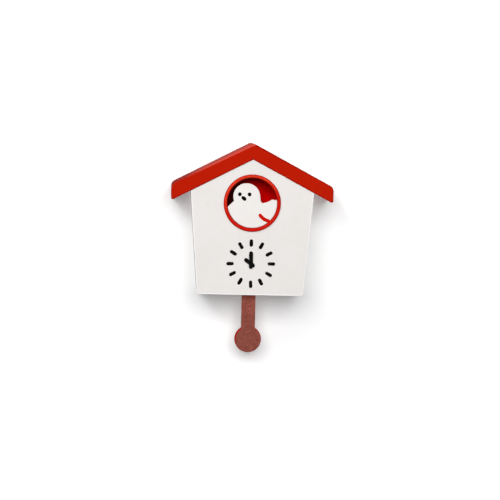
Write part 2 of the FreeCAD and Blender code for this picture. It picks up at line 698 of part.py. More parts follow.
pad(beak, "oval", "paint_relief", offset=BIRD_FRONT, loops=[[
    on_beak("-beak_long", "-beak_round"),
    (*on_beak("beak_long", "-beak_round"), "beak_round"),
    (*on_beak("(beak_long + beak_round)", "0"), "beak_round"),
    on_beak("beak_long", "beak_round"),
    (*on_beak("-beak_long", "beak_round"), "beak_round"),
    (*on_beak("(-beak_long - beak_round)", "0"), "beak_round"),
]])
node(beak)

# the wing line: a band on an arc, round at its start and ending at the bird's own edge
WING_X, WING_Z = on_bird(("0.792", "-0.141"))
WING_START, WING_END = "217", "270"


def on_wing(radius, turn):
    return (f"{WING_X} + {radius} * cos({turn})", f"{WING_Z} + {radius} * sin({turn})")


WING_IN = "(wing_radius - wing_line / 2)"
WING_OUT = "(wing_radius + wing_line / 2)"
wing = new_body("wing_band", height="window_height")
pad(wing, "band", "paint_relief", offset=BIRD_FRONT, loops=[[
    (*on_wing(WING_OUT, WING_START), WING_OUT),
    on_wing(WING_OUT, WING_END),
    (*on_wing(WING_IN, WING_END), f"-{WING_IN}"),
    (*on_wing(WING_IN, WING_START), "wing_line / 2"),
    (f"{WING_X} + wing_radius * cos({WING_START}) + wing_line / 2 * sin({WING_START})",
     f"{WING_Z} + wing_radius * sin({WING_START}) - wing_line / 2 * cos({WING_START})",
     "wing_line / 2"),
]])
edge_disc = rod("wing_edge", "y", ("0", f"{BIRD_FRONT} + cut_past", "window_height"), BIRD_RADIUS,
                "2 * cut_past")
wing_line = doc.addObject("Part::Common", "bird_wing_line")
wing_line.Base = wing
wing_line.Tool = edge_disc
node(wing_line)

# the rack: a square bar behind the bird, toothed underneath
rack = new_body("bird_rack", height="window_height")
pad(rack, "bar", f"{BIRD_BACK} - rack_back", offset="rack_back", loops=[[
    ("-rack_width / 2", "-rack_height / 2 + 2 * rack_module"),
    ("rack_width / 2", "-rack_height / 2 + 2 * rack_module"),
    ("rack_width / 2", "rack_height / 2"), ("-rack_width / 2", "rack_height / 2"),
]])
RACK_PITCH = "(rack_module * pi)"
FIRST_TOOTH = f"(-pinion_depth + rack_teeth / 2 * {RACK_PITCH})"
ROOT_LINE = "(-rack_height / 2 + tooth_root * rack_module)"
TIP_LINE = "(-rack_height / 2 + tooth_trim)"
rack_tooth = pad(rack, "tooth", "rack_width", plane="YZ_Plane", offset="-rack_width / 2", loops=[[
    (f"{FIRST_TOOTH} - tooth_foot * {RACK_PITCH}", ROOT_LINE),
    (f"{FIRST_TOOTH} - tooth_land * {RACK_PITCH}", TIP_LINE),
    (f"{FIRST_TOOTH} + tooth_land * {RACK_PITCH}", TIP_LINE),
    (f"{FIRST_TOOTH} + tooth_foot * {RACK_PITCH}", ROOT_LINE),
]])
rack_row = rack.newObject("PartDesign::LinearPattern", "teeth")
rack_row.Originals = [rack_tooth]
rack_row.Direction = (origin_feature(rack, "Y_Axis"), [""])
rack_row.Reversed = True
bind(rack_row, {"Occurrences": "rack_teeth", "Length": f"(rack_teeth - 1) * {RACK_PITCH}"})
rack.Tip = rack_row
doc.recompute()
node(rack)


# ---------------------------------------------------------------- bird drive

drive_pinion = new_body("rack_pinion", height=PINION_HEIGHT)
bind(drive_pinion, {"Placement.Base.y": "-pinion_depth"})
gear(drive_pinion, "pinion", "rack_module", "rack_pinion_teeth", "-rack_pinion_width / 2",
     "rack_pinion_width", phase="0", plane="YZ_Plane", axis="X_Axis")
pad(drive_pinion, "shaft", "motor_start + motor_bore_depth - cut_past + rack_pinion_width / 2",
    plane="YZ_Plane", offset="-rack_pinion_width / 2", circles=[("0", "0", "motor_shaft")])
node(drive_pinion)

motor_place = ("motor_start", "pinion_depth", PINION_HEIGHT)
motor_can = rod("motor_can", "x", motor_place, "motor_radius", "motor_length")
motor_bore = rod("motor_bore", "x", ("motor_start - cut_past", "pinion_depth", PINION_HEIGHT),
                 "motor_shaft + running_gap", "motor_bore_depth + cut_past")
node(cut("bird_motor", motor_can, motor_bore))

bracket_x = ("motor_start - bracket_thickness", "motor_start")
bracket_z = (f"{PINION_HEIGHT} - motor_radius - bracket_margin",
             f"{PINION_HEIGHT} + motor_radius + bracket_margin")
bracket_plate = box("bracket_plate", bracket_x,
                    ("pinion_depth - motor_radius - bracket_thickness", NICHE_BACK), bracket_z)
bracket_foot = box("bracket_foot_plate", ("motor_start", "motor_start + bracket_foot"),
                   (f"{NICHE_BACK} - bracket_thickness / 2", NICHE_BACK), bracket_z)
bracket_hole = rod("bracket_hole", "x",
                   ("motor_start - bracket_thickness - cut_past", "pinion_depth", PINION_HEIGHT),
                   "motor_shaft + bracket_hole_gap", "bracket_thickness + 2 * cut_past")
node(cut("motor_bracket", fuse("bracket_angle", bracket_plate, bracket_foot), bracket_hole))


# ---------------------------------------------------------------- dial marks and hands

dial = new_body("dial_marks", height="dial_height")
MARK_HALF = "(mark_width / 2)"
MARK_LOW = "(mark_ring - mark_length / 2 + mark_width / 2)"
MARK_HIGH = "(mark_ring + mark_length / 2 - mark_width / 2)"
mark = pad(dial, "mark", "mark_relief", offset=FRONT, loops=[[
    (MARK_HALF, MARK_LOW), (MARK_HALF, MARK_HIGH, MARK_HALF),
    ("0", f"{MARK_HIGH} + {MARK_HALF}", MARK_HALF), (f"-{MARK_HALF}", MARK_HIGH),
    (f"-{MARK_HALF}", MARK_LOW, MARK_HALF), ("0", f"{MARK_LOW} - {MARK_HALF}", MARK_HALF),
]])
marks = dial.newObject("PartDesign::PolarPattern", "marks")
marks.Originals = [mark]
marks.Axis = (origin_feature(dial, "Y_Axis"), [""])
marks.Angle = 360
marks.Occurrences = 12
dial.Tip = marks
doc.recompute()
node(dial)


def clock_hand(label, reach, tail, turn, back, bore):
    """A stubby hand with round ends, turned anticlockwise from twelve, on a round hub."""
    body = new_body(label, height="dial_height")
    half = "(hand_width / 2)"

    def on_hand(across, along):
        return (f"({across}) * cos({turn}) - ({along}) * sin({turn})",
                f"({across}) * sin({turn}) + ({along}) * cos({turn})")

    top = f"({reach} - {half})"
    foot = f"(-{tail} + {half})"
    pad(body, "blade", "hand_thickness", offset=back, loops=[[
        on_hand(half, foot), (*on_hand(half, top), half),
        (*on_hand("0", f"{top} + {half}"), half), on_hand(f"-{half}", top),
        (*on_hand(f"-{half}", foot), half), (*on_hand("0", f"{foot} - {half}"), half),
    ]])
    pad(body, "hub", "hand_thickness", offset=back, circles=[("0", "0", "hub_radius")])
    if bore:
        pocket(body, "bore", "hand_thickness", offset=f"{back} + hand_thickness",
               circles=[("0", "0", bore)])
    return node(body)


clock_hand("hour_hand", "hour_reach", "hour_tail", "hour_angle", HOUR_HAND_BACK, "pipe_radius")
clock_hand("minute_hand", "minute_reach", "minute_tail", "0", MINUTE_HAND_BACK, None)


# ---------------------------------------------------------------- quartz works

WORKS_HALF = "works_width / 2"
works_x = (f"-{WORKS_HALF}", WORKS_HALF)
works_z = (f"dial_height - {WORKS_HALF}", f"dial_height + {WORKS_HALF}")
room_x = (f"-{WORKS_HALF} + works_wall", f"{WORKS_HALF} - works_wall")
room_z = (f"dial_height - {WORKS_HALF} + works_wall", f"dial_height + {WORKS_HALF} - works_wall")

front_block = box("works_front_block", works_x, (WORKS_SPLIT, FRONT_BACK), works_z)
front_nose = rod("works_nose", "y", ("0", f"{FRONT_BACK} + nose_length", "dial_height"),
                 "nose_radius", "nose_length + cut_past")
front_room = box("works_front_room", room_x, (f"{WORKS_SPLIT} - cut_past", f"{FRONT_BACK} - works_wall"),
                 room_z)
pipe_bore = rod("works_pipe_bore", "y",
                ("0", f"{FRONT_BACK} + nose_length + cut_past", "dial_height"),
                "pipe_radius + running_gap", "nose_length + works_wall + 2 * cut_past")
node(cut("works_front", fuse("works_front_solid", front_block, front_nose), front_room, pipe_bore))

rear_block = box("works_rear_block", works_x, (WORKS_BACK, WORKS_SPLIT), works_z)
rear_room = box("works_rear_room", room_x, (f"{WORKS_BACK} + works_wall", f"{WORKS_SPLIT} + cut_past"),
                room_z)
shaft_bore = rod("works_shaft_bore", "y",
                 ("0", f"{WORKS_BACK} + works_wall + cut_past", MOTION_HEIGHT),
                 "shaft_radius + running_gap", "works_wall + 2 * cut_past")
drive_pilot = rod("works_pilot", "y",
                  ("0", f"{WORKS_BACK} + works_wall + cut_past", "dial_height"),
                  "arbor_radius + running_gap", "works_wall + cut_past - pilot_floor")
node(cut("works_rear", rear_block, rear_room, shaft_bore, drive_pilot))

corner_reach = f"({WORKS_HALF} - works_screw_inset)"
corners = [(across, up) for across in (-1, 1) for up in (-1, 1)]
works_screws = []
for index, (across, up) in enumerate(corners):
    place = (f"{across} * {corner_reach}", f"{WORKS_BACK} + works_wall + works_screw_length",
             f"dial_height + {up} * {corner_reach}")
    works_screws.append(rod(f"works_screw_{index}", "y", place, "screw_radius",
                            "works_screw_length"))
node(group("works_screws", works_screws))

# centre wheel with the cannon pinion and the minute arbor, one turn an hour
CANNON = f"({FRONT_BACK} - works_wall - cannon_back)"
CENTRE = f"({WORKS_BACK} + centre_lift)"
centre = new_body("centre_wheel", height="dial_height")
gear(centre, "wheel", "train_module", "centre_teeth", CENTRE, "wheel_thickness")
gear(centre, "cannon", "gear_module", "cannon_teeth", CANNON, "cannon_width")
pad(centre, "arbor", f"{MINUTE_HAND_BACK} - {WORKS_BACK} - arbor_start",
    offset=f"{WORKS_BACK} + arbor_start", circles=[("0", "0", "arbor_radius")])
node(centre)

# motion wheel: driven by the cannon pinion, drives the hour wheel
HOUR = f"({FRONT_BACK} - works_wall - hour_back)"
motion = new_body("motion_wheel", height=MOTION_HEIGHT)
gear(motion, "wheel", "gear_module", "motion_teeth", f"{CANNON} + axle_play", "wheel_thickness",
     phase="180 / motion_teeth")
gear(motion, "pinion", "gear_module", "motion_pinion_teeth",
     f"{CANNON} + axle_play + wheel_thickness", f"{HOUR} - {CANNON} + axle_play",
     phase="180 / motion_pinion_teeth")
pad(motion, "arbor", f"{HOUR} + arbor_past - {CANNON} + arbor_run", offset=f"{CANNON} - arbor_run",
    circles=[("0", "0", "shaft_radius")])
node(motion)

hour = new_body("hour_wheel", height="dial_height")
gear(hour, "wheel", "gear_module", "hour_teeth", HOUR, "wheel_thickness")
pad(hour, "pipe", f"{HOUR_HAND_BACK} + hand_thickness - {HOUR}", offset=HOUR,
    circles=[("0", "0", "pipe_radius")])
pocket(hour, "bore", f"{HOUR_HAND_BACK} + hand_thickness - {HOUR}",
       offset=f"{HOUR_HAND_BACK} + hand_thickness",
       circles=[("0", "0", "arbor_radius + running_gap")])
node(hour)

third = new_body("third_wheel", height=THIRD_HEIGHT)
gear(third, "wheel", "train_module", "third_teeth", f"{WORKS_BACK} + third_lift",
     "wheel_thickness")
gear(third, "pinion", "train_module", "third_pinion_teeth",
     f"{WORKS_BACK} + third_lift + wheel_thickness", "centre_lift - third_lift",
     phase="180 / third_pinion_teeth")
pad(third, "arbor", "third_arbor", offset=f"{WORKS_BACK} + works_wall + axle_play",
    circles=[("0", "0", "third_radius")])
node(third)

# sealed stepper unit beside the third wheel's rim, and its coil
THIRD_TIP = "(train_module * (third_teeth / 2 + tip_addendum))"
stepper_x = (f"{THIRD_TIP} + stepper_gap", f"{THIRD_TIP} + stepper_gap + stepper_width")
node(box("stepper_unit", stepper_x, (f"{WORKS_BACK} + works_wall", f"{WORKS_BACK} + stepper_reach"),
         (f"{THIRD_HEIGHT} - stepper_half", f"{THIRD_HEIGHT} + stepper_half")))
coil_x = f"-{WORKS_HALF} + coil_inset"
coil_low = "dial_height - coil_length / 2"
coil_back = f"{WORKS_BACK} + works_wall"
coil_core = rod("coil_winding", "z", (coil_x, f"{coil_back} + cheek_side / 2", coil_low),
                "coil_radius", "coil_length")
coil_cheeks = [box(f"coil_cheek_{i}", (f"{coil_x} - cheek_side / 2", f"{coil_x} + cheek_side / 2"),
                   (coil_back, f"{coil_back} + cheek_side"), (z, f"{z} + cheek_thickness"))
               for i, z in enumerate((coil_low, f"{coil_low} + coil_length - cheek_thickness"))]
node(fuse("stepper_coil", coil_core, *coil_cheeks))

# setting shaft and knob, turning with the motion wheel
set_shaft = rod("set_shaft", "y", ("0", f"{CANNON} - arbor_run", MOTION_HEIGHT), "shaft_radius",
                f"{CANNON} - arbor_run - knob_set_in - knob_length")
node(set_shaft)
knob = new_body("set_knob", height=MOTION_HEIGHT)
pad(knob, "knob", "knob_length", offset="knob_set_in",
    circles=[("0", "0", "knob_radius - knob_core_inset")])
flute = pad(knob, "flute", "knob_length", offset="knob_set_in",
            circles=[("0", "knob_radius - flute_radius", "flute_radius")])
flutes = knob.newObject("PartDesign::PolarPattern", "flutes")
flutes.Originals = [flute]
flutes.Axis = (origin_feature(knob, "Y_Axis"), [""])
flutes.Angle = 360
bind(flutes, {"Occurrences": "flute_count"})
knob.Tip = flutes
doc.recompute()
node(knob)


# ---------------------------------------------------------------- pendulum

DRIVE_BACK = f"({WORKS_BACK} - drive_depth)"
drive_z = ("pivot_height + drive_above - drive_height", "pivot_height + drive_above")
drive_box = box("drive_box", ("-drive_width / 2", "drive_width / 2"), (DRIVE_BACK, WORKS_BACK),
                drive_z)
PIN_INNER = f"({DRIVE_BACK} + pin_seat)"
drive_hole = rod("drive_hole", "y", ("0", PIN_INNER, "pivot_height"), "pivot_radius",
                 "pin_seat + cut_past")
node(cut("pendulum_drive", drive_box, drive_hole))
node(rod("pivot_pin", "y", ("0", PIN_INNER, "pivot_height"), "pivot_radius",
         f"{PIN_INNER} - pendulum_depth + pin_past"))

bush = new_body("pendulum_bush", height="pivot_height")
pad(bush, "bush", "pendulum_thickness", offset="pendulum_depth",
    circles=[("0", "0", "bush_radius"), ("0", "0", "pivot_radius + running_gap")])
node(bush)

pendulum_rod = new_body("pendulum_rod", height="pivot_height")
ROD_HALF = "(rod_width / 2)"
BOB_DOWN = "(-pivot_height - bob_drop)"
ROD_TOP = "(bush_radius + strap_above)"
ROD_FOOT = f"({BOB_DOWN} + sqrt(bob_radius ^ 2 - {ROD_HALF} ^ 2))"
pad(pendulum_rod, "strap", "pendulum_thickness", offset="pendulum_depth", loops=[[
    (f"-{ROD_HALF}", ROD_FOOT), (ROD_HALF, ROD_FOOT),
    (ROD_HALF, ROD_TOP), (f"-{ROD_HALF}", ROD_TOP),
]])
pocket(pendulum_rod, "bob_seat", "pendulum_thickness", offset=PENDULUM_FRONT,
       circles=[("0", BOB_DOWN, "bob_radius")])
pocket(pendulum_rod, "bush_hole", "pendulum_thickness", offset=PENDULUM_FRONT,
       circles=[("0", "0", "bush_radius")])
node(pendulum_rod)

bob = new_body("pendulum_bob", height="pivot_height")
pad(bob, "disc", "pendulum_thickness", offset="pendulum_depth",
    circles=[("0", BOB_DOWN, "bob_radius")])
node(bob)

MAGNET_Z = "(pivot_height - magnet_drop)"
node(rod("drive_magnet", "y", ("0", f"{PENDULUM_FRONT} + magnet_length", MAGNET_Z),
         "magnet_radius", "magnet_length"))


# ---------------------------------------------------------------- battery tray, cells and cover

tray_x = ("-tray_width / 2", "tray_width / 2")
tray_z = ("tray_low", "tray_low + tray_height")
tray_d = ("back_board", "back_board + tray_depth")
tray_shell = box("tray_shell", tray_x, tray_d, tray_z)
tray_room = box("tray_room", (f"-{CELL_ROOM_HALF}", CELL_ROOM_HALF),
                ("back_board - cut_past", "back_board + tray_depth - tray_wall"),
                (CELL_ROOM_LOW, CELL_ROOM_HIGH))
node(cut("battery_tray", tray_shell, tray_room))

CELL_DEPTH = "(back_board + tray_depth - tray_wall - cell_radius)"
CELL_HEIGHTS = (f"({CELL_ROOM_LOW} + cell_radius)", f"({CELL_ROOM_HIGH} - cell_radius)")
cells = []
for index, height in enumerate(CELL_HEIGHTS):
    can = rod(f"cell_can_{index}", "x", ("-cell_length / 2", CELL_DEPTH, height), "cell_radius",
              "cell_length - tip_length")
    start = "cell_length / 2 - tip_length" if index == 0 else "-cell_length / 2 - tip_length"
    tip = rod(f"cell_tip_{index}", "x", (start, CELL_DEPTH, height), "tip_radius", "tip_length")
    cells.append(fuse(f"cell_{index}", can, tip))
node(group("battery_cells", cells))

contacts = []
for side in (-1, 1):
    for index, height in enumerate(CELL_HEIGHTS):
        wall = f"{side} * {CELL_ROOM_HALF}"
        inner = f"{side} * ({CELL_ROOM_HALF} - contact_thickness)"
        ends = (wall, inner) if side < 0 else (inner, wall)
        contacts.append(box(f"contact_{side + 1}_{index}", ends,
                            (f"{CELL_DEPTH} - contact_half", f"{CELL_DEPTH} + contact_half"),
                            (f"{height} - contact_half", f"{height} + contact_half")))
node(group("battery_contacts", contacts))

door = new_body("battery_cover")
DOOR_FACE = f"({DOOR_HALF} - door_gap)"
DOOR_TONGUE = f"({TONGUE_HALF} - door_gap)"
for name, half, start, length in (
        ("face", DOOR_FACE, "door_set_in", "door_layer"),
        ("tongues", DOOR_TONGUE, "door_layer + door_set_in", "door_layer - 2 * tongue_gap")):
    pad(door, name, length, offset=start, loops=[[
        (f"-{half}", "door_low"), (half, "door_low"), (half, "door_top - door_gap"),
        (f"-{half}", "door_top - door_gap"),
    ]])
node(door)


# ---------------------------------------------------------------- sound and controls

board = box("circuit_plate", ("board_x - board_width / 2", "board_x + board_width / 2"),
            ("board_depth", "board_depth + board_thickness"),
            ("board_z - board_height / 2", "board_z + board_height / 2"))
chip = box("circuit_chip", ("board_x - chip_half", "board_x + chip_half"),
           ("board_depth + board_thickness", "board_depth + board_thickness + chip_thickness"),
           ("board_z - chip_low", "board_z - chip_high"))
posts = [rod(f"circuit_post_{i}", "y",
             (f"board_x + {side} * post_x", "board_depth", "board_z - post_z"), "post_radius",
             "board_depth - back_board") for i, side in enumerate((-1, 0, 1))]
node(fuse("control_board", board, chip, *posts))

VOLUME_END = "(board_depth - knob_clear)"
node(rod("volume_knob", "y", ("volume_x", VOLUME_END, "control_z"), "volume_radius",
         f"{VOLUME_END} - face_set_in"))
BUTTON_END = "(board_depth - button_travel - button_clear)"
node(rod("demo_button", "y", ("button_x", BUTTON_END, "control_z"), "button_radius",
         f"{BUTTON_END} - button_set_in"))
switch_handle = box("switch_handle", ("switch_x - switch_half", "switch_x + switch_half"),
                    ("face_set_in", "back_board + switch_reach"),
                    ("control_z - switch_high", "control_z + switch_high"))
switch_foot = box("switch_foot", ("switch_x - switch_base", "switch_x + switch_base"),
                  ("back_board + switch_gap", "back_board + switch_base"),
                  ("control_z - switch_base_high", "control_z + switch_base_high"))
node(fuse("mode_switch", switch_handle, switch_foot))

speaker_ring = rod("speaker_ring", "y", ("speaker_x", "back_board + speaker_rim", "speaker_z"),
                   "speaker_radius", "speaker_rim")
speaker_can = rod("speaker_can", "y", ("speaker_x", "back_board + speaker_depth", "speaker_z"),
                  "speaker_radius / 2", "speaker_can_length")
node(fuse("speaker", speaker_ring, speaker_can))

SENSOR_DEPTH = f"{FRONT_BACK} - sensor_inset"
sensor_stem = rod("sensor_stem", "z", ("sensor_x", SENSOR_DEPTH, "-sensor_out"), "sensor_radius",
                  "floor_thickness + sensor_out")
sensor_top = rod("sensor_top", "z", ("sensor_x", SENSOR_DEPTH, "floor_thickness"),
                 "sensor_radius + sensor_flange", "sensor_head")
node(fuse("light_sensor", sensor_stem, sensor_top))


# ---------------------------------------------------------------- tests and files

doc.recompute()
for thing in doc.Objects:
    if "Invalid" in thing.State or "Error" in thing.State:
        raise RuntimeError(f"{thing.Label} failed: {thing.State}")
for piece in nodes:
    if piece.Shape.isNull() or not piece.Shape.isValid() or not piece.Shape.Solids:
        raise RuntimeError(f"{piece.Label} has no valid solid")

os.makedirs("parts", exist_ok=True)
for piece in nodes:
    piece.Shape.exportStep(f"parts/{piece.Label}.step")
print(len(nodes), "nodes")
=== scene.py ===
"""A house-shaped wall cuckoo clock: its finish and fine shapes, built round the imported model.

Sections follow the clock as it is put together, from the back board to the pendulum. Lengths are
in metres in the frame's axes: the wall is the plane y = 0, the clock faces -y, and z is up.
"""
import math

import bmesh
import bpy
import numpy as np
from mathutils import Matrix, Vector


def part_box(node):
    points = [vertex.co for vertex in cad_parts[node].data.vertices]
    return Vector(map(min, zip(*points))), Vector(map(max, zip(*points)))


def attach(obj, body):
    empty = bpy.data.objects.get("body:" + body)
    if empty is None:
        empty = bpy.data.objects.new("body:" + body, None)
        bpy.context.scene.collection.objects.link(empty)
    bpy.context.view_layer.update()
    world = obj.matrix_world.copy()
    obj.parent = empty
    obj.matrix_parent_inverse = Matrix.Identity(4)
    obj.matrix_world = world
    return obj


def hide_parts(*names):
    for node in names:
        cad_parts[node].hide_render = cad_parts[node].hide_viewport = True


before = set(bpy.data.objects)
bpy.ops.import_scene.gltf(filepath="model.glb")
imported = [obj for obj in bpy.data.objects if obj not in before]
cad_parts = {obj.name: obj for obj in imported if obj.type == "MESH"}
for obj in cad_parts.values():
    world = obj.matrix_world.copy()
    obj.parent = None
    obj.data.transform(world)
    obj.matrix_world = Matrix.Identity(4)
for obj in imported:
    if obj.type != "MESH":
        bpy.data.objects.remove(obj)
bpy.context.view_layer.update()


# ---------------------------------------------------------------- back board
# A sheet of bare pressed-wood board, cut and drilled on a router and held with four screws.
# Its face is brown and fibrous, with short crossed flecks of darker fibre.

MM = 0.001


def paint(red, green, blue):
    """A swatch colour, each part 0 to 255 as a screen shows it, as the linear colour of a shader."""
    parts = np.array([red, green, blue]) / 255
    linear = np.where(parts <= 0.04045, parts / 12.92, ((parts + 0.055) / 1.055) ** 2.4)
    return (*linear.tolist(), 1.0)


def new_group(name, inputs, outputs):
    """An empty shader group with its sockets, and its input and output nodes."""
    tree = bpy.data.node_groups.new(name, "ShaderNodeTree")
    for label, kind, value in inputs:
        socket = tree.interface.new_socket(label, in_out="INPUT", socket_type="NodeSocket" + kind)
        socket.default_value = value
    for label, kind in outputs:
        tree.interface.new_socket(label, in_out="OUTPUT", socket_type="NodeSocket" + kind)
    return tree, tree.nodes.new("NodeGroupInput"), tree.nodes.new("NodeGroupOutput")


def feed(tree, socket, value):
    """Wires another node's socket into this one, or sets a plain value on it."""
    if isinstance(value, bpy.types.NodeSocket):
        tree.links.new(value, socket)
    else:
        socket.default_value = value


def node(tree, kind, inputs=None, **settings):
    """A shader node with its settings, and its inputs given as values or as sockets to wire in."""
    made = tree.nodes.new("ShaderNode" + kind)
    for name, value in settings.items():
        setattr(made, name, value)
    for name, value in (inputs or {}).items():
        feed(tree, made.inputs[name], value)
    return made


def give_out(tree, output, **results):
    """Wires the results of a shader group to its output node."""
    for name, result in results.items():
        tree.links.new(result, output.inputs[name])


def sum_of(tree, first, second, operation="ADD"):
    """The sum of two values or sockets, or another arithmetic step on them."""
    return node(tree, "Math", {0: first, 1: second}, operation=operation).outputs[0]


def scaled(tree, value, share):
    """The product of two values or sockets."""
    return sum_of(tree, value, share, "MULTIPLY")


def place_in(tree):
    """The shaded place in the frame's axes."""
    return node(tree, "TexCoord").outputs["Object"]


def between(tree, value, low, high):
    """0 under low and 1 over high, with a smooth step from one to the other."""
    return node(tree, "MapRange", {"Value": value, "From Min": low, "From Max": high},
                interpolation_type="SMOOTHSTEP").outputs[0]


def blended(tree, share, first, second):
    """One colour turning into another as the share goes from 0 to 1."""
    made = node(tree, "Mix", {"Factor": share}, data_type="RGBA")
    feed(tree, made.inputs[6], first)
    feed(tree, made.inputs[7], second)
    return made.outputs[2]


def noise(tree, where, scale, detail=3.0, roughness=0.5):
    """Even noise of about 0 to 1."""
    return node(tree, "TexNoise", {"Vector": where, "Scale": scale, "Detail": detail,
                                   "Roughness": roughness}).outputs[0]


def axes_in(tree):
    """The shaded place's x, y and z, each as a socket of the node."""
    return node(tree, "SeparateXYZ", {0: place_in(tree)})


def middle_of(name):
    """The middle of a CAD node's box."""
    low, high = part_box(name)
    return (np.array(low) + np.array(high)) / 2


# pressed fibre: short crossed flecks, with a darker felted tone in patches
fibre, fibre_in, fibre_out = new_group(
    "pressed_fibre",
    [("Colour", "Color", (1, 1, 1, 1)), ("Fleck", "Color", (0, 0, 0, 1)), ("Scale", "Float", 1.0)],
    [("Colour", "Color"), ("Height", "Float")])
fibre_at = place_in(fibre)
fibre_at = node(fibre, "VectorMath", {0: fibre_at, "Scale": fibre_in.outputs["Scale"]},
                operation="SCALE").outputs[0]
fibre_across = node(fibre, "Mapping", {"Vector": fibre_at, "Scale": (300, 300, 1500)}).outputs[0]
fibre_along = node(fibre, "Mapping", {"Vector": fibre_at, "Scale": (1500, 300, 300)}).outputs[0]
flecks = sum_of(fibre, noise(fibre, fibre_across, 1.0, 4), noise(fibre, fibre_along, 1.0, 4))
fleck_mask = between(fibre, flecks, 0.98, 1.25)
felted = between(fibre, noise(fibre, fibre_at, 45.0, 4), 0.35, 0.75)
fibre_mask = sum_of(fibre, scaled(fibre, fleck_mask, 0.7), scaled(fibre, felted, 0.35))
fibre_tone = blended(fibre, fibre_mask, fibre_in.outputs["Colour"], fibre_in.outputs["Fleck"])
give_out(fibre, fibre_out, Colour=fibre_tone, Height=flecks)


def bare_material(name):
    """A material whose node tree is still empty, and that tree."""
    made = bpy.data.materials.new(name)
    made.use_nodes = True
    made.node_tree.nodes.clear()
    return made, made.node_tree


def new_material(name, roughness=0.5, specular=0.5, **fixed):
    """A material with one Principled shader, and its plain values set on the shader itself."""
    made, tree = bare_material(name)
    shader = node(tree, "BsdfPrincipled", {"Roughness": roughness,
                                           "Specular IOR Level": specular, **fixed})
    node(tree, "OutputMaterial", {"Surface": shader.outputs[0]})
    return made, tree, shader


def use_group(tree, group, **values):
    """A shared effect placed in a material, with this material's own values."""
    made = tree.nodes.new("ShaderNodeGroup")
    made.node_tree = group
    for name, value in values.items():
        feed(tree, made.inputs[name], value)
    return made


def raise_surface(tree, shader, height, depth):
    """Feeds a height into the shader's normal; the depth is the relief from 0 to 1, in metres."""
    bump = node(tree, "Bump", {"Height": height, "Distance": depth})
    tree.links.new(bump.outputs[0], shader.inputs["Normal"])


def finish_with(tree, shader, effect, relief):
    """Feeds a shared effect's colour, its roughness if it has one, and its height to the shader."""
    tree.links.new(effect.outputs["Colour"], shader.inputs["Base Color"])
    if "Roughness" in effect.outputs:
        tree.links.new(effect.outputs["Roughness"], shader.inputs["Roughness"])
    raise_surface(tree, shader, effect.outputs["Height"], relief)


board_finish, tree, shader = new_material("bare_fibreboard", roughness=0.85, specular=0.2)
pressed = use_group(tree, fibre, Colour=paint(176, 134, 92), Fleck=paint(120, 82, 50))
finish_with(tree, shader, pressed, relief=0.00008)


def dress(name, material, edge=0.0003, steps=2):
    """Gives a CAD node its finish and eases its sharp edges by a small radius."""
    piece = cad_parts[name]
    for place in piece.material_slots:
        place.material = material
    weld = piece.modifiers.new("weld", "WELD")
    weld.merge_threshold = 0.000002
    if edge:
        flat = piece.modifiers.new("flat", "DECIMATE")
        flat.decimate_type = "DISSOLVE"
        flat.angle_limit = math.radians(0.5)
        ease = piece.modifiers.new("ease", "BEVEL")
        ease.width = edge
        ease.segments = steps
        ease.limit_method = "ANGLE"
        ease.angle_limit = math.radians(40)
        ease.harden_normals = True
    return piece


dress("back_panel", board_finish, edge=0.0002)


# ---------------------------------------------------------------- hanger plate and screws
# A stamped steel plate, zinc plated, let into the back board over the room for the wall screw.
# Three short screws hold it and four long ones hold the back board, all with crossed recesses.

# rolled and plated metal: drawn lines along one way, cloudy dulling, and a few dark specks
metal, metal_in, metal_out = new_group(
    "rolled_metal",
    [("Colour", "Color", (1, 1, 1, 1)), ("Dull", "Color", (0.5, 0.5, 0.5, 1)),
     ("Lines", "Vector", (300, 300, 3000)), ("Sheen", "Float", 0.3)],
    [("Colour", "Color"), ("Roughness", "Float"), ("Height", "Float")])
metal_at = place_in(metal)
metal_drawn = node(metal, "VectorMath", {0: metal_at, 1: metal_in.outputs["Lines"]},
                   operation="MULTIPLY").outputs[0]
metal_line = noise(metal, metal_drawn, 1.0, 4)
metal_cloud = between(metal, noise(metal, metal_at, 140.0, 4), 0.35, 0.7)
metal_speck = between(metal, noise(metal, metal_at, 1100.0, 2), 0.66, 0.76)
metal_dull = sum_of(metal, scaled(metal, metal_cloud, 0.45),
                    scaled(metal, metal_speck, 0.5))
metal_dull = sum_of(metal, metal_dull,
                    scaled(metal, between(metal, metal_line, 0.45, 0.7), 0.3))
metal_dull = node(metal, "Clamp", {"Value": metal_dull}).outputs[0]
metal_tone = blended(metal, metal_dull, metal_in.outputs["Colour"], metal_in.outputs["Dull"])
metal_rough = sum_of(metal, metal_in.outputs["Sheen"], scaled(metal, metal_dull, 0.25))
give_out(metal, metal_out, Colour=metal_tone, Roughness=metal_rough, Height=metal_line)


def metal_material(name, colour, dull, lines=(300, 300, 3000), sheen=0.3):
    """A metal with drawn lines; the lines run along the way with the least scale."""
    made, tree, shader = new_material(name, Metallic=1.0)
    rolled = use_group(tree, metal, Colour=colour, Dull=dull, Lines=lines, Sheen=sheen)
    finish_with(tree, shader, rolled, relief=0.00002)
    return made


zinc = metal_material("zinc_plated_steel", paint(196, 198, 200), paint(146, 149, 153))
screw_steel = metal_material("screw_steel", paint(206, 198, 176), paint(150, 142, 122),
                             lines=(900, 900, 900), sheen=0.35)
dress("hanger_plate", zinc, edge=0.0002)


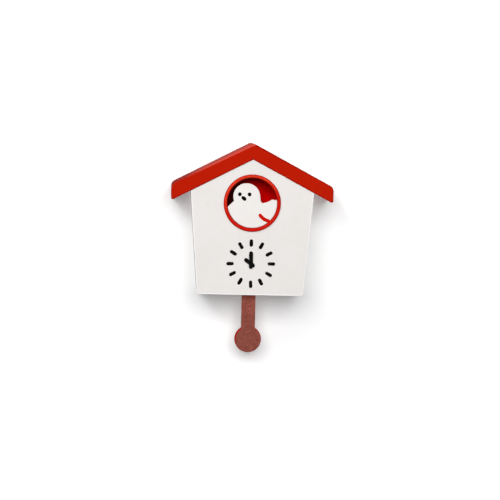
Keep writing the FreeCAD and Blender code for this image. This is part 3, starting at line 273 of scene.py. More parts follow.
def settle(name, points, faces, body, stands_for, finishes, face_finish=None):
    """Makes the mesh a piece: outward faces, even shading, its finishes and the body it rides on."""
    mesh = bpy.data.meshes.new(name)
    mesh.from_pydata(points.reshape(-1, 3).tolist(), [], faces)
    for finish in finishes:
        mesh.materials.append(finish)
    if face_finish is not None:
        mesh.polygons.foreach_set("material_index", face_finish)
    loose = bmesh.new()
    loose.from_mesh(mesh)
    bmesh.ops.recalc_face_normals(loose, faces=loose.faces)
    loose.to_mesh(mesh)
    loose.free()
    mesh.shade_smooth()
    piece = bpy.data.objects.new(name, mesh)
    bpy.context.scene.collection.objects.link(piece)
    even = piece.modifiers.new("even", "WEIGHTED_NORMAL")
    even.keep_sharp = True
    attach(piece, body)
    if stands_for:
        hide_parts(*stands_for)
    return piece


def shell_faces(count, around, first=0):
    """Faces of a closed skin of rows: four-sided between rows, and one face over each end."""
    index = first + np.arange(count * around).reshape(count, around)
    low, high = index[:-1], index[1:]
    sides = np.stack([low, np.roll(low, -1, 1), np.roll(high, -1, 1), high], -1).reshape(-1, 4)
    return sides.tolist() + [index[0][::-1].tolist(), index[-1].tolist()]


def shells(parts):
    """Several closed skins as one mesh: their points, and faces numbered on from skin to skin."""
    faces, first = [], 0
    for rows in parts:
        faces += shell_faces(*rows.shape[:2], first)
        first += rows.shape[0] * rows.shape[1]
    return np.concatenate([rows.reshape(-1, 3) for rows in parts]), faces


def screw_rows(head, seat, shank, length, pitch):
    """Rows of a wood screw from its head's face, at 0, along -y to its point.

    The crossed recess sinks where the lesser distance to its two arms is under their half width.
    The thread swells the shank by the cosine of the turn plus the depth over the pitch.
    """
    turn = np.linspace(0, 2 * np.pi, 32, endpoint=False)[None]
    reach = np.linspace(0.05, 0.93, 12)[:, None] * head
    across, up = reach * np.cos(turn), reach * np.sin(turn)
    off_arm = np.minimum(np.abs(across), np.abs(up)) / head
    sunk = np.clip((0.2 - off_arm) / 0.08, 0, 1) * np.clip((0.62 - reach / head) / 0.1, 0, 1)
    depth = np.arange(seat, length, pitch / 6)[:, None]
    swell = 0.8 + 0.2 * np.cos(turn + 2 * np.pi * depth / pitch)
    point = np.clip((length - depth) / (2 * shank), 0.08, 1)
    rim = np.full((2, 32), head)
    radius = np.concatenate([reach + 0 * turn, rim, shank * swell * point])
    level = np.concatenate([0.5 * seat * sunk, rim * [[0.08 * seat / head], [0.35 * seat / head]],
                            depth + 0 * turn])
    return np.stack([radius * np.cos(turn), -level, radius * np.sin(turn)], -1)


def wood_screws(name, spots, head, seat, shank, length, pitch, stands_for):
    """Screws driven from the wall side at their spots, all turned to different angles."""
    parts = []
    for place, (across, up) in enumerate(spots):
        rows = screw_rows(head, seat, shank, length, pitch)
        turn = place * 1.3
        rows = rows @ np.array([[math.cos(turn), 0, math.sin(turn)], [0, 1, 0],
                                [-math.sin(turn), 0, math.cos(turn)]])
        parts.append(rows + (across, 0, up))
    points, faces = shells(parts)
    settle(name, points, faces, "case", [stands_for], [screw_steel])


# each screw stands in from its CAD node's box by the CAD head's radius
head_in, screw_head, screw_shank = 2.8 * MM, 2.75 * MM, 1.38 * MM
plate_low, plate_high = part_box("hanger_screws")
plate_reach = plate_high.x - head_in
wood_screws("hanger_screws_crossed",
            [(-plate_reach, plate_low.z + head_in), (plate_reach, plate_low.z + head_in),
             (0, plate_high.z - head_in)],
            screw_head, 0.8 * MM, screw_shank, 4.98 * MM, 1.0 * MM, "hanger_screws")
long_low, long_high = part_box("back_screws")
lower_reach = 54.97 * MM
wood_screws("back_screws_crossed",
            [(side * across, up) for side in (-1, 1)
             for across, up in ((long_high.x - head_in, long_high.z - head_in),
                                (lower_reach, long_low.z + head_in))],
            screw_head, 1.6 * MM, screw_shank, 13.98 * MM, 1.3 * MM, "back_screws")


# ---------------------------------------------------------------- side boards, floor and front
# Thin boards glued edge to edge, sanded and sprayed with a warm white lacquer.
# The lacquer is matt, with a faint orange peel, and the arrises are eased by the sanding.

# sprayed lacquer: slow drifts of tone, a fine orange peel, and a few shallow knocks
lacquer, lacquer_in, lacquer_out = new_group(
    "sprayed_lacquer",
    [("Colour", "Color", (1, 1, 1, 1)), ("Deeper", "Color", (0.9, 0.9, 0.9, 1)),
     ("Drift", "Float", 0.5), ("Knocks", "Float", 0.5), ("Sheen", "Float", 0.5)],
    [("Colour", "Color"), ("Roughness", "Float"), ("Height", "Float")])
lacquer_at = place_in(lacquer)
drift = between(lacquer, noise(lacquer, lacquer_at, 22.0, 3), 0.3, 0.75)
mottle = between(lacquer, noise(lacquer, lacquer_at, 260.0, 4, 0.6), 0.35, 0.7)
peel = noise(lacquer, lacquer_at, 1500.0, 2)
knock_cell = node(lacquer, "TexVoronoi", {"Vector": lacquer_at, "Scale": 55.0})
knock_size = node(lacquer, "SeparateColor", {0: knock_cell.outputs["Color"]}).outputs[0]
knock_reach = scaled(lacquer, between(lacquer, knock_size, 0.62, 1.0), 0.3)
knock = sum_of(lacquer, knock_reach, knock_cell.outputs["Distance"], "SUBTRACT")
knock = scaled(lacquer, between(lacquer, knock, 0.0, 0.12), lacquer_in.outputs["Knocks"])
tone_share = sum_of(lacquer, scaled(lacquer, drift, lacquer_in.outputs["Drift"]),
                    scaled(lacquer, mottle, 0.18))
tone_share = sum_of(lacquer, tone_share, knock)
tone_share = node(lacquer, "Clamp", {"Value": tone_share}).outputs[0]
lacquer_tone = blended(lacquer, tone_share, lacquer_in.outputs["Colour"],
                       lacquer_in.outputs["Deeper"])
lacquer_rough = sum_of(lacquer, lacquer_in.outputs["Sheen"],
                       scaled(lacquer, mottle, 0.08))
lacquer_high = sum_of(lacquer, scaled(lacquer, peel, 0.35), knock, "SUBTRACT")
give_out(lacquer, lacquer_out, Colour=lacquer_tone, Roughness=lacquer_rough, Height=lacquer_high)


def lacquer_material(name, colour, deeper, drift=0.5, knocks=0.3, sheen=0.5, relief=0.00006,
                     specular=0.3, **fixed):
    """A sprayed coat in one colour."""
    made, tree, shader = new_material(name, specular=specular, **fixed)
    coat = use_group(tree, lacquer, Colour=colour, Deeper=deeper, Drift=drift, Knocks=knocks,
                     Sheen=sheen)
    finish_with(tree, shader, coat, relief)
    return made


warm_white, shaded_white = paint(240, 236, 233), paint(231, 227, 223)
white_coat = lacquer_material("white_lacquer", warm_white, shaded_white, drift=0.35, knocks=0.12,
                              sheen=0.55)
for board in ("side_left", "side_right", "floor_board"):
    dress(board, white_coat, edge=0.0006)

# painted highlight: the front board's colour turns pure white along its low and side edges, where
# the eased arris catches the light
front_coat, tree, shader = new_material("front_lacquer", specular=0.3)
front_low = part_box("front_panel")[0]
front_spot = axes_in(tree)
across = sum_of(tree, front_spot.outputs["X"], 0.0, "ABSOLUTE")
up = sum_of(tree, front_spot.outputs["Z"], front_low.z, "SUBTRACT")
side_lean = math.tan(math.radians(4.64))
side_line = sum_of(tree, across, scaled(tree, up, side_lean), "SUBTRACT")
side_highlight = between(tree, side_line, 65.6 * MM, 66.4 * MM)
low_highlight = between(tree, up, 2.2 * MM, 1.2 * MM)
front_tone = blended(tree, sum_of(tree, side_highlight, low_highlight, "MAXIMUM"), warm_white,
                     paint(255, 255, 255))
front_spray = use_group(tree, lacquer, Colour=front_tone, Deeper=shaded_white, Drift=0.35,
                        Knocks=0.12, Sheen=0.55)
finish_with(tree, shader, front_spray, relief=0.00006)
dress("front_panel", front_coat, edge=0.0008, steps=4)


# ---------------------------------------------------------------- corner blocks
# Sawn softwood blocks glued into the corners, which take the back board's screws.
# They are left bare, with their growth rings and the marks of the saw.

wood, wood_in, wood_out = new_group(
    "sawn_wood",
    [("Colour", "Color", (1, 1, 1, 1)), ("Ring", "Color", (0.5, 0.3, 0.1, 1))],
    [("Colour", "Color"), ("Height", "Float")])
wood_at = place_in(wood)
wood_ring = node(wood, "TexWave", {"Vector": wood_at, "Scale": 110.0, "Distortion": 3.5,
                                   "Detail": 3.0, "Detail Scale": 0.6},
                 bands_direction="DIAGONAL").outputs["Fac"]
wood_long = node(wood, "VectorMath", {0: wood_at, 1: (2500, 2500, 180)},
                 operation="MULTIPLY").outputs[0]
wood_pore = noise(wood, wood_long, 1.0, 3)
wood_share = sum_of(wood, scaled(wood, wood_ring, 0.6),
                    scaled(wood, between(wood, wood_pore, 0.5, 0.75), 0.4))
wood_tone = blended(wood, wood_share, wood_in.outputs["Colour"], wood_in.outputs["Ring"])
give_out(wood, wood_out, Colour=wood_tone, Height=sum_of(wood, wood_pore, wood_ring))

block_wood, tree, shader = new_material("bare_softwood", roughness=0.75, specular=0.25)
sawn = use_group(tree, wood, Colour=paint(222, 190, 140), Ring=paint(180, 134, 84))
finish_with(tree, shader, sawn, relief=0.00008)
dress("corner_blocks", block_wood, edge=0.0005)


# ---------------------------------------------------------------- roof
# Two thick boards mitred and glued at the ridge, with plumb eaves whose corners are rounded.
# The joint is filled and the whole roof sprayed red, so it looks like one bent board.

def unit(vector):
    """The vector's way, one long."""
    return vector / np.linalg.norm(vector)


def soft_corner(before, corner, after, radius, points=8):
    """The corner of two straight edges rounded by an arc that touches both of them.

    The arc's middle lies on the corner's bisector, at the radius over the sine of half the angle,
    and the points swing evenly about it from one edge to the other.
    """
    back, on = unit(before - corner), unit(after - corner)
    half = np.arccos(np.clip(back @ on, -1, 1)) / 2
    middle = corner + unit(back + on) * radius / np.sin(half)
    start = corner + back * radius / np.tan(half) - middle
    end = corner + on * radius / np.tan(half) - middle
    turn = np.pi - 2 * half
    share = np.linspace(0, 1, points)[:, None]
    return middle + (np.sin((1 - share) * turn) * start + np.sin(share * turn) * end) / np.sin(turn)


def soft_outline(corners):
    """A closed outline of straight edges from (across, up, radius) corners, each one rounded."""
    spots = np.array([(across, up) for across, up, _ in corners])
    parts = []
    for i, (_, _, radius) in enumerate(corners):
        after = spots[(i + 1) % len(corners)]
        parts.append(soft_corner(spots[i - 1], spots[i], after, radius))
    return np.concatenate(parts)


def moved_in(outline, inset):
    """The outline moved inwards: each point goes along the mean of its two edges' normals.

    The mean is divided by one plus their cosine, so that both edges move by the whole inset.
    """
    edge = np.roll(outline, -1, 0) - outline
    length = np.linalg.norm(edge, axis=1, keepdims=True)
    outward = np.stack([edge[:, 1], -edge[:, 0]], 1) / length
    before = np.roll(outward, 1, 0)
    cosine = (before * outward).sum(1, keepdims=True)
    area = (outline[:, 0] * np.roll(outline[:, 1], -1) - np.roll(outline[:, 0], -1)
            * outline[:, 1]).sum()
    return outline - np.sign(area) * np.reshape(inset, (-1, 1)) * (before + outward) / (1 + cosine)


def plate_rows(outline, back, front, back_round, front_round, steps=5, bow=1.0):
    """Rows of points round a plate from its back face to its front face, with rounded edges.

    Each rounding is a quarter circle: the inset is the radius times one minus the sine of the turn,
    and the depth the radius times one minus its cosine. A bow over one raises both to that power,
    which flattens the rounding into a chamfer. The rounding may vary along the outline.
    """
    rows = []
    for level, radius, turns in ((back, back_round, np.linspace(0, np.pi / 2, steps)),
                                 (front, front_round, np.linspace(np.pi / 2, 0, steps))):
        inward = 1 if level == back else -1
        radius = np.broadcast_to(radius, len(outline))
        for turn in turns:
            ring = moved_in(outline, radius * (1 - np.sin(turn) ** bow))
            depth = level - inward * radius * (1 - np.cos(turn) ** bow)
            rows.append(np.stack([ring[:, 0], depth, ring[:, 1]], 1))
    return np.array(rows)


roof_red, roof_deeper = paint(189, 27, 0), paint(177, 18, 0)
red_coat = lacquer_material("red_lacquer", roof_red, roof_deeper, drift=0.3, knocks=0.55,
                            sheen=0.42, specular=0.06,
                            **{"Coat Weight": 0.12, "Coat Roughness": 0.35})
roof_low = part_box("roof_left")[0]
roof_half, rim_deep = -roof_low.x, 3.0 * MM


def edge_light_coat(name, edge_light, deeper, knocks, **fixed):
    """A red coat with painted light on its rounded edges: painted shade on the rims, or a painted
    highlight on an arris, in the first tone given.

    Looked at squarely, the broad faces keep the full red: the painted tone comes in as the facing
    weight nears 1, and in the rim's depth at the front. Towards the eaves it turns a deep red, and
    near the wall a darker painted shade.
    """
    made, tree, shader = new_material(name, specular=0.0, **fixed)
    place = axes_in(tree)
    deep = place.outputs["Y"]
    off_middle = sum_of(tree, place.outputs["X"], 0.0, "ABSOLUTE")
    edge_light = blended(tree, between(tree, off_middle, 0.55 * roof_half, 0.92 * roof_half), edge_light,
                   paint(168, 16, 6))
    at_rim = between(tree, deep, roof_low.y + rim_deep + 0.2 * MM, roof_low.y + rim_deep - 0.2 * MM)
    facing = node(tree, "LayerWeight", {"Blend": 0.5}).outputs["Facing"]
    edge_light_share = sum_of(tree, at_rim, between(tree, facing, 0.72, 0.9), "MAXIMUM")
    edge_light_tone = blended(tree, between(tree, deep, -12 * MM, -4 * MM), edge_light, paint(150, 20, 14))
    spray = use_group(tree, lacquer, Colour=blended(tree, edge_light_share, roof_red, edge_light_tone),
                      Deeper=blended(tree, edge_light_share, roof_deeper, deeper), Drift=0.3,
                      Knocks=knocks, Sheen=0.5)
    finish_with(tree, shader, spray, relief=0.00006)
    return made


# painted shade in a deeper red for the roof's rounded rims, and a pale painted highlight for its
# wide arris
rim_shade_coat = edge_light_coat("red_lacquer_rim_painted_shade", paint(160, 10, 0), paint(140, 6, 0), 0.3)
arris_highlight_coat = edge_light_coat("red_lacquer_arris_painted_highlight", paint(220, 82, 70), paint(200, 64, 54), 0.2,
                        **{"Coat Weight": 0.08, "Coat Roughness": 0.3})
gable_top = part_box("front_panel")[1].z
roof_pitch = math.radians(27.6)
roof_thick = 18.2 * MM / math.cos(roof_pitch)
eave = gable_top - roof_half * math.tan(roof_pitch)
foot_round, eave_round = 2.0 * MM, 8.0 * MM
roof_outline = soft_outline([
    (0, gable_top, 1.0 * MM), (roof_half, eave, foot_round),
    (roof_half, eave + roof_thick, eave_round), (0, gable_top + roof_thick, 6.0 * MM),
    (-roof_half, eave + roof_thick, eave_round), (-roof_half, eave, foot_round),
])
# the sander took more off the left board's upper arris, most of it near the ridge
left_share = np.clip(-roof_outline[:, 0] / roof_half, 0, 1)
upper = roof_outline[:, 1] > gable_top - np.abs(roof_outline[:, 0]) * math.tan(roof_pitch) + 9 * MM
band_end, band_fade = 1.0 * MM, 3.5 * MM
past_ridge = np.clip(1 - (roof_outline[:, 0] - band_end) / band_fade, 0, 1)
arris_round, sanded_more, roof_steps = 0.9 * MM, 1.9 * MM, 7
arris = arris_round + upper * past_ridge * sanded_more * (1 - left_share)
roof_rows = plate_rows(roof_outline, 0.0, roof_low.y, back_round=0.8 * MM, front_round=arris,
                       steps=roof_steps, bow=1.5)
roof_faces = shell_faces(*roof_rows.shape[:2])
# the coat is thin and deep on the rounded rims, and rubbed pale along the wide arris
roof_row, roof_place = np.divmod(np.arange(len(roof_faces) - 2), len(roof_outline))
wide_arris = (upper & (past_ridge > 0))[roof_place]
# the rounded rims take the coat with painted shade, and the wide arris the coat with a pale painted
# highlight
in_front = roof_row >= roof_steps - 1
roof_coats = np.where(wide_arris & in_front, 2, 1) * (roof_row < 2 * roof_steps - 1)
roof_coats = np.append(roof_coats, [0, 0]).astype(np.int32)
settle("roof", roof_rows, roof_faces, "case", ["roof_left", "roof_right"],
       [red_coat, rim_shade_coat, arris_highlight_coat], roof_coats)


# ---------------------------------------------------------------- window ring
# A turned wooden ring, let through the front board and standing a little proud of it.
# It has a wide chamfer towards the window and a coat of brighter, glossier red.

def turned(name, profile, middle, body, stands_for, finishes, around=96, axis="y",
           coats=None):
    """A turned piece: a closed profile of (radius, place along the axis) carried round the axis.

    The coats give one finish number for each side of the profile.
    """
    turn = np.linspace(0, 2 * np.pi, around, endpoint=False)[:, None]
    radius, along = profile[:, 0], profile[:, 1]
    flat = np.stack([radius * np.cos(turn), np.broadcast_to(along, (around, len(profile))),
                     radius * np.sin(turn)], -1)
    order = {"y": (0, 1, 2), "x": (1, 0, 2), "z": (0, 2, 1)}[axis]
    points = flat[..., order] + np.array(middle)
    index = np.arange(around * len(profile)).reshape(around, len(profile))
    ahead, up = np.roll(index, -1, 0), np.roll(index, -1, 1)
    faces = np.stack([index, ahead, np.roll(ahead, -1, 1), up], -1).reshape(-1, 4)
    face_finish = None if coats is None else np.tile(coats, around).astype(np.int32)
    return settle(name, points, faces.tolist(), body, stands_for, finishes, face_finish)


ring_low, ring_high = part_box("window_ring")
window_x, _, window_z = middle_of("window_ring")
ring_outer = (ring_high.x - ring_low.x) / 2
ring_inner = ring_outer - 4.4 * MM
chamfer_across, chamfer_deep = 2.0 * MM, 1.6 * MM
ring_profile = soft_outline([
    (ring_inner, ring_high.y, 0.3 * MM), (ring_outer, ring_high.y, 0.3 * MM),
    (ring_outer, ring_low.y, 0.9 * MM), (ring_inner + chamfer_across, ring_low.y, 0.8 * MM),
    (ring_inner, ring_low.y + chamfer_deep, 0.7 * MM),
])
# painted highlight: the band is lighter and more orange towards the upper left, and painted shade
# deepens the outer rim
ring_coat, tree, shader = new_material("ring_lacquer", specular=0.06,
                                       **{"Coat Weight": 0.15, "Coat Roughness": 0.25})
ring_spot = node(tree, "VectorMath", {0: place_in(tree),
                                      1: (window_x, 0, window_z)}, operation="SUBTRACT").outputs[0]
ring_flat = node(tree, "VectorMath", {0: ring_spot, 1: (1, 0, 1)}, operation="MULTIPLY").outputs[0]
ring_reach = node(tree, "VectorMath", {0: ring_flat}, operation="LENGTH").outputs["Value"]
highlight_way = (-0.35, 0, 0.937)
ring_side = node(tree, "VectorMath", {0: ring_flat, 1: highlight_way},
                 operation="DOT_PRODUCT").outputs["Value"]
highlight_share = between(tree, ring_side, -0.2 * ring_outer, 0.65 * ring_outer)
in_band = scaled(tree, between(tree, ring_reach, ring_inner + 0.6 * MM, ring_inner + 1.6 * MM),
                 between(tree, ring_reach, ring_outer - 0.8 * MM, ring_outer - 1.5 * MM))
ring_tone = blended(tree, scaled(tree, highlight_share, in_band), paint(204, 22, 6),
                    paint(250, 68, 38))
ring_tone = blended(tree, between(tree, ring_reach, ring_outer - 1.0 * MM, ring_outer - 0.3 * MM),
                    ring_tone, paint(160, 6, 0))
ring_spray = use_group(tree, lacquer, Colour=ring_tone, Deeper=paint(190, 14, 4), Drift=0.12,
                       Knocks=0.15, Sheen=0.3)
finish_with(tree, shader, ring_spray, relief=0.00006)
turned("window_ring_turned", ring_profile, (window_x, 0, window_z), "case", ["window_ring"],
       [ring_coat], around=160)


# ---------------------------------------------------------------- niche behind the window
# A drawn cup of thin sheet with a flange, glued behind the front board, dark red inside.
# Its back has the slot that the bird's rack slides through.

# painted shade: the cup's red darkens to near black towards its left-hand side, which lies in shadow
niche_coat, tree, shader = new_material("niche_paint", specular=0.0)
niche_across = axes_in(tree).outputs["X"]
niche_shade_tone = blended(tree, between(tree, niche_across, window_x - 24 * MM, window_x + 6 * MM),
                     paint(64, 0, 2), paint(224, 2, 2))
niche_spray = use_group(tree, lacquer, Colour=niche_shade_tone, Deeper=paint(120, 0, 0), Drift=0.2,
                        Knocks=0.1, Sheen=0.65)
finish_with(tree, shader, niche_spray, relief=0.00006)
dress("bird_niche", niche_coat, edge=0.0003)


# ---------------------------------------------------------------- bird
# A flat figure sawn from board, sanded round at its edges and sprayed white.
# It fills the window with a hair's gap, and its back carries the toothed rack.

def on_circle(middle, radius, angle):
    """The point of a circle at an angle in degrees, or its points at an array of them."""
    turn = np.radians(angle)
    return np.stack([middle[0] + radius * np.cos(turn), middle[1] + radius * np.sin(turn)], -1)


def arc(middle, radius, start, end, points):
    """Points on a circle's arc between two angles in degrees."""
    return on_circle(middle, radius, np.linspace(start, end, points))


def arc_to(start, end, radius, points):
    """Points on the smaller arc from one point to another; a positive radius bends to the left."""
    start, end = np.array(start), np.array(end)
    chord = end - start
    left = unit(np.array([-chord[1], chord[0]]))
    rise = math.sqrt(radius ** 2 - (chord @ chord) / 4)
    middle = (start + end) / 2 + left * math.copysign(rise, radius)
    first, last = (math.degrees(math.atan2(*(spot - middle)[::-1])) for spot in (start, end))
    sweep = (last - first + 180) % 360 - 180
    return arc(middle, abs(radius), first, first + sweep, points)


bird_low, bird_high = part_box("bird")
bird_radius = bird_high.x
nape_angle, tail_angle = 190.0, 7.7
nape, tail_tip = on_circle((0, 0), 1.0, nape_angle), on_circle((0, 0), 1.0, tail_angle)
bird_path = np.concatenate([
    arc_to(nape, (-0.740, 0.075), 8.0, 2)[:-1],
    arc_to((-0.740, 0.075), (-0.224, 0.796), -0.535, 20)[:-1],
    arc_to((-0.224, 0.796), (0.320, 0.255), -0.55, 20)[:-1],
    arc_to((0.320, 0.255), (0.331, 0.125), -8.0, 2)[:-1],
    arc_to((0.331, 0.125), (0.452, 0.010), 0.118, 8)[:-1],
    arc_to((0.452, 0.010), (0.775, 0.150), 0.79, 9)[:-1],
    arc_to((0.775, 0.150), (0.835, 0.157), -0.07, 5)[:-1],
    arc_to((0.835, 0.157), tail_tip, 8.0, 2)[:-1],
    arc((0, 0), 1.0, tail_angle, nape_angle - 360, 70)[:-1],
])
bird_outline = bird_path * bird_radius + (window_x, window_z)
bird_coat = lacquer_material("bird_lacquer", paint(244, 240, 237), paint(234, 229, 225),
                             drift=0.3, knocks=0.1, sheen=0.55)
bird_rows = plate_rows(bird_outline, bird_high.y, bird_low.y, back_round=0.3 * MM,
                       front_round=0.7 * MM)
settle("bird_figure", bird_rows, shell_faces(*bird_rows.shape[:2]), "bird_slide", ["bird"],
       [bird_coat])


# ---------------------------------------------------------------- eyes and beak
# Three drops of thick black paint, set on the bird with a blunt stick.
# Each one dries as a low dome with a soft, not quite even edge.

def blob_rows(outline, middle, base, height, steps=6):
    """Rows of a low dome over an outline: it shrinks to its middle as a quarter ellipse rises."""
    rows = []
    for turn in np.linspace(0, np.radians(82), steps):
        ring = middle + (outline - middle) * np.cos(turn)
        depth = np.full(len(outline), base - height * np.sin(turn))
        rows.append(np.stack([ring[:, 0], depth, ring[:, 1]], 1))
    under = rows[0].copy()
    under[:, 1] = base + 0.05 * MM
    return np.array([under] + rows)


def blobs(name, outlines, base, height, body, stands_for, finish):
    """Several domes of paint that dry as one piece."""
    points, faces = shells([blob_rows(outline, outline.mean(0), base, height)
                            for outline in outlines])
    return settle(name, points, faces, body, stands_for, [finish])


def dab(middle, wide, tall, tilt, ripple, phase, lean=0.0):
    """An oval dab of paint whose edge ripples a little: the radius swells twice and thrice a turn.

    The lean makes it taller towards its far end, in proportion to the cosine of the turn.
    """
    turn = np.linspace(0, 2 * np.pi, 40, endpoint=False)
    swell = 1 + ripple * np.sin(2 * turn + phase) + ripple * 0.6 * np.sin(3 * turn + 2 * phase)
    x = wide * swell * np.cos(turn)
    z = tall * swell * np.sin(turn) * (1 + lean * np.cos(turn))
    tilt = math.radians(tilt)
    return np.stack([middle[0] + x * math.cos(tilt) - z * math.sin(tilt),
                     middle[1] + x * math.sin(tilt) + z * math.cos(tilt)], 1)


black_paint, tree, shader = new_material("black_paint", roughness=0.6, specular=0.06)
brushed = use_group(tree, lacquer, Colour=paint(10, 9, 9), Deeper=paint(3, 3, 3), Drift=0.5,
                    Knocks=0.1, Sheen=0.55)
finish_with(tree, shader, brushed, relief=0.0001)

eyes_low, eyes_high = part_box("bird_eyes")
eye_radius = (eyes_high.z - eyes_low.z) / 2
eye_spots = [(eyes_low.x + eye_radius, eyes_low.z + eye_radius),
             (eyes_high.x - eye_radius, eyes_high.z - eye_radius)]
eyes = [dab(spot, eye_radius * 0.98, eye_radius * 1.01, 0, 0.02, phase)
        for spot, phase in zip(eye_spots, (0.4, 2.1))]
dab_height = 0.35 * MM
blobs("eyes_painted", eyes, bird_low.y, dab_height, "bird_slide", ["bird_eyes"], black_paint)
beak_long, beak_round, beak_turn = 3.5 * MM, 2.5 * MM, -40
beak = dab(middle_of("bird_beak")[[0, 2]], beak_long, beak_round, beak_turn, 0.03, 1.0, lean=0.22)
blobs("beak_painted", [beak], bird_low.y, dab_height, "bird_slide", ["bird_beak"], black_paint)


# ---------------------------------------------------------------- wing line
# One stroke of the ring's red across the bird's flank, from a round start to the bird's edge.
# A loaded brush leaves it thicker along its middle.

wing_paint = lacquer_material("wing_paint", paint(208, 24, 8), paint(186, 14, 4), drift=0.3,
                              knocks=0.2, sheen=0.45, specular=0.1)
wing_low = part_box("bird_wing_line")[0]
wing_middle = np.array([window_x + 24.8 * MM, window_z - 4.4 * MM])
wing_radius, wing_half = 18.0 * MM, 2.25 * MM
wing_start, wing_end = 217.0, 266.0
wing_head = on_circle(wing_middle, wing_radius, wing_start)
wing_outline = np.concatenate([
    arc(wing_middle, wing_radius + wing_half, wing_start, wing_end + 3.0, 24),
    arc(wing_middle, wing_radius - wing_half, wing_end - 6.0, wing_start, 22),
    arc(wing_head, wing_half, wing_start + 180, wing_start + 360, 9)[1:-1],
])
wing_rows = plate_rows(wing_outline, bird_low.y + 0.05 * MM, wing_low.y, back_round=0.02 * MM,
                       front_round=0.2 * MM)
settle("wing_line_painted", wing_rows, shell_faces(*wing_rows.shape[:2]), "bird_slide",
       ["bird_wing_line"], [wing_paint])


# ---------------------------------------------------------------- bird drive
# A moulded rack glued behind the bird, driven by a pinion on a small motor.
# The motor is screwed to a bent steel bracket and closed with a black end cap.

# moulded plastic: a fine spark-cut grain, slow flow marks, and faint scuffs
moulded, moulded_in, moulded_out = new_group(
    "moulded_plastic",
    [("Colour", "Color", (1, 1, 1, 1)), ("Deeper", "Color", (0.5, 0.5, 0.5, 1)),
     ("Sheen", "Float", 0.4)],
    [("Colour", "Color"), ("Roughness", "Float"), ("Height", "Float")])
moulded_at = place_in(moulded)
moulded_grain = noise(moulded, moulded_at, 2600.0, 2)
moulded_flow = between(moulded, noise(moulded, moulded_at, 70.0, 3), 0.35, 0.7)
moulded_long = node(moulded, "VectorMath", {0: moulded_at, 1: (90, 90, 2400)},
                    operation="MULTIPLY").outputs[0]
moulded_scuff = between(moulded, noise(moulded, moulded_long, 1.0, 2), 0.64, 0.74)
moulded_share = sum_of(moulded, scaled(moulded, moulded_flow, 0.5),
                       scaled(moulded, moulded_scuff, 0.3))
moulded_tone = blended(moulded, moulded_share, moulded_in.outputs["Colour"],
                       moulded_in.outputs["Deeper"])
moulded_rough = sum_of(moulded, moulded_in.outputs["Sheen"],
                       scaled(moulded, moulded_scuff, 0.2))
give_out(moulded, moulded_out, Colour=moulded_tone, Roughness=moulded_rough, Height=moulded_grain)


def plastic_material(name, colour, deeper, sheen=0.4, specular=0.4, relief=0.00002):
    """A moulded plastic in one colour."""
    made, tree, shader = new_material(name, specular=specular)
    cast = use_group(tree, moulded, Colour=colour, Deeper=deeper, Sheen=sheen)
    finish_with(tree, shader, cast, relief)
    return made


natural_acetal = plastic_material("natural_acetal", paint(236, 232, 220), paint(218, 212, 196),
                                  sheen=0.35)
black_plastic = plastic_material("black_plastic", paint(40, 41, 43), paint(26, 27, 29))
can_steel = metal_material("motor_can_steel", paint(186, 188, 190), paint(132, 135, 140),
                           lines=(300, 2600, 2600), sheen=0.28)
dress("bird_rack", natural_acetal, edge=0.00012)
dress("rack_pinion", natural_acetal, edge=0.00012)
dress("motor_bracket", zinc, edge=0.0003)

motor_low, motor_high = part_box("bird_motor")
motor_radius = (motor_high.z - motor_low.z) / 2
motor_path = np.array([
    (0.2, 0.0), (3.0, 0.0), (3.2, 0.2), (3.2, 1.3), (3.6, 1.5), (9.2, 1.5), (9.8, 1.8), (10.0, 2.4),
    (10.0, 19.0), (9.75, 19.3), (9.75, 19.9), (10.0, 20.2), (10.0, 22.6), (9.6, 23.0), (9.3, 23.1),
    (9.3, 23.9), (9.0, 24.2), (3.2, 24.2), (3.0, 24.4), (3.0, 24.9), (2.7, 25.0), (0.2, 25.0),
]) * MM
drawn_radius, drawn_length = 10 * MM, 25 * MM
motor_path *= (motor_radius / drawn_radius, (motor_high.x - motor_low.x) / drawn_length)
turned("bird_motor_can", motor_path, (motor_low.x, *middle_of("bird_motor")[1:]), "case",
       ["bird_motor"], [can_steel, black_plastic], around=72, axis="x",
       coats=[0] * 14 + [1] * 8)


# ---------------------------------------------------------------- dial
# Twelve short bars painted straight on the front board through a stencil, by hand.
# The paint is thick and matt, with round ends that aren't quite alike.

def stroke(start, end, width, bulge, phase, points=12):
    """A painted bar: two round ends joined by sides that swell and wander a little."""
    start, end = np.array(start), np.array(end)
    along = unit(end - start)
    across = np.array([-along[1], along[0]])
    half = width / 2
    share = np.linspace(0.0, 1.0, points)[:, None]
    line = start + along * half + share * (end - start - along * width)
    side = half * (1 + bulge * np.sin(share * 3.0 + phase))
    other = half * (1 + bulge * np.sin(share * 2.6 + 2.0 * phase + 1.0))
    turn = np.linspace(0, np.pi, 9)[1:-1, None]
    cap_end = end - along * half + half * (np.sin(turn) * along - np.cos(turn) * across)
    cap_start = start + along * half - half * (np.sin(turn) * along - np.cos(turn) * across)
    return np.concatenate([line - across * side, cap_end, (line + across * other)[::-1], cap_start])


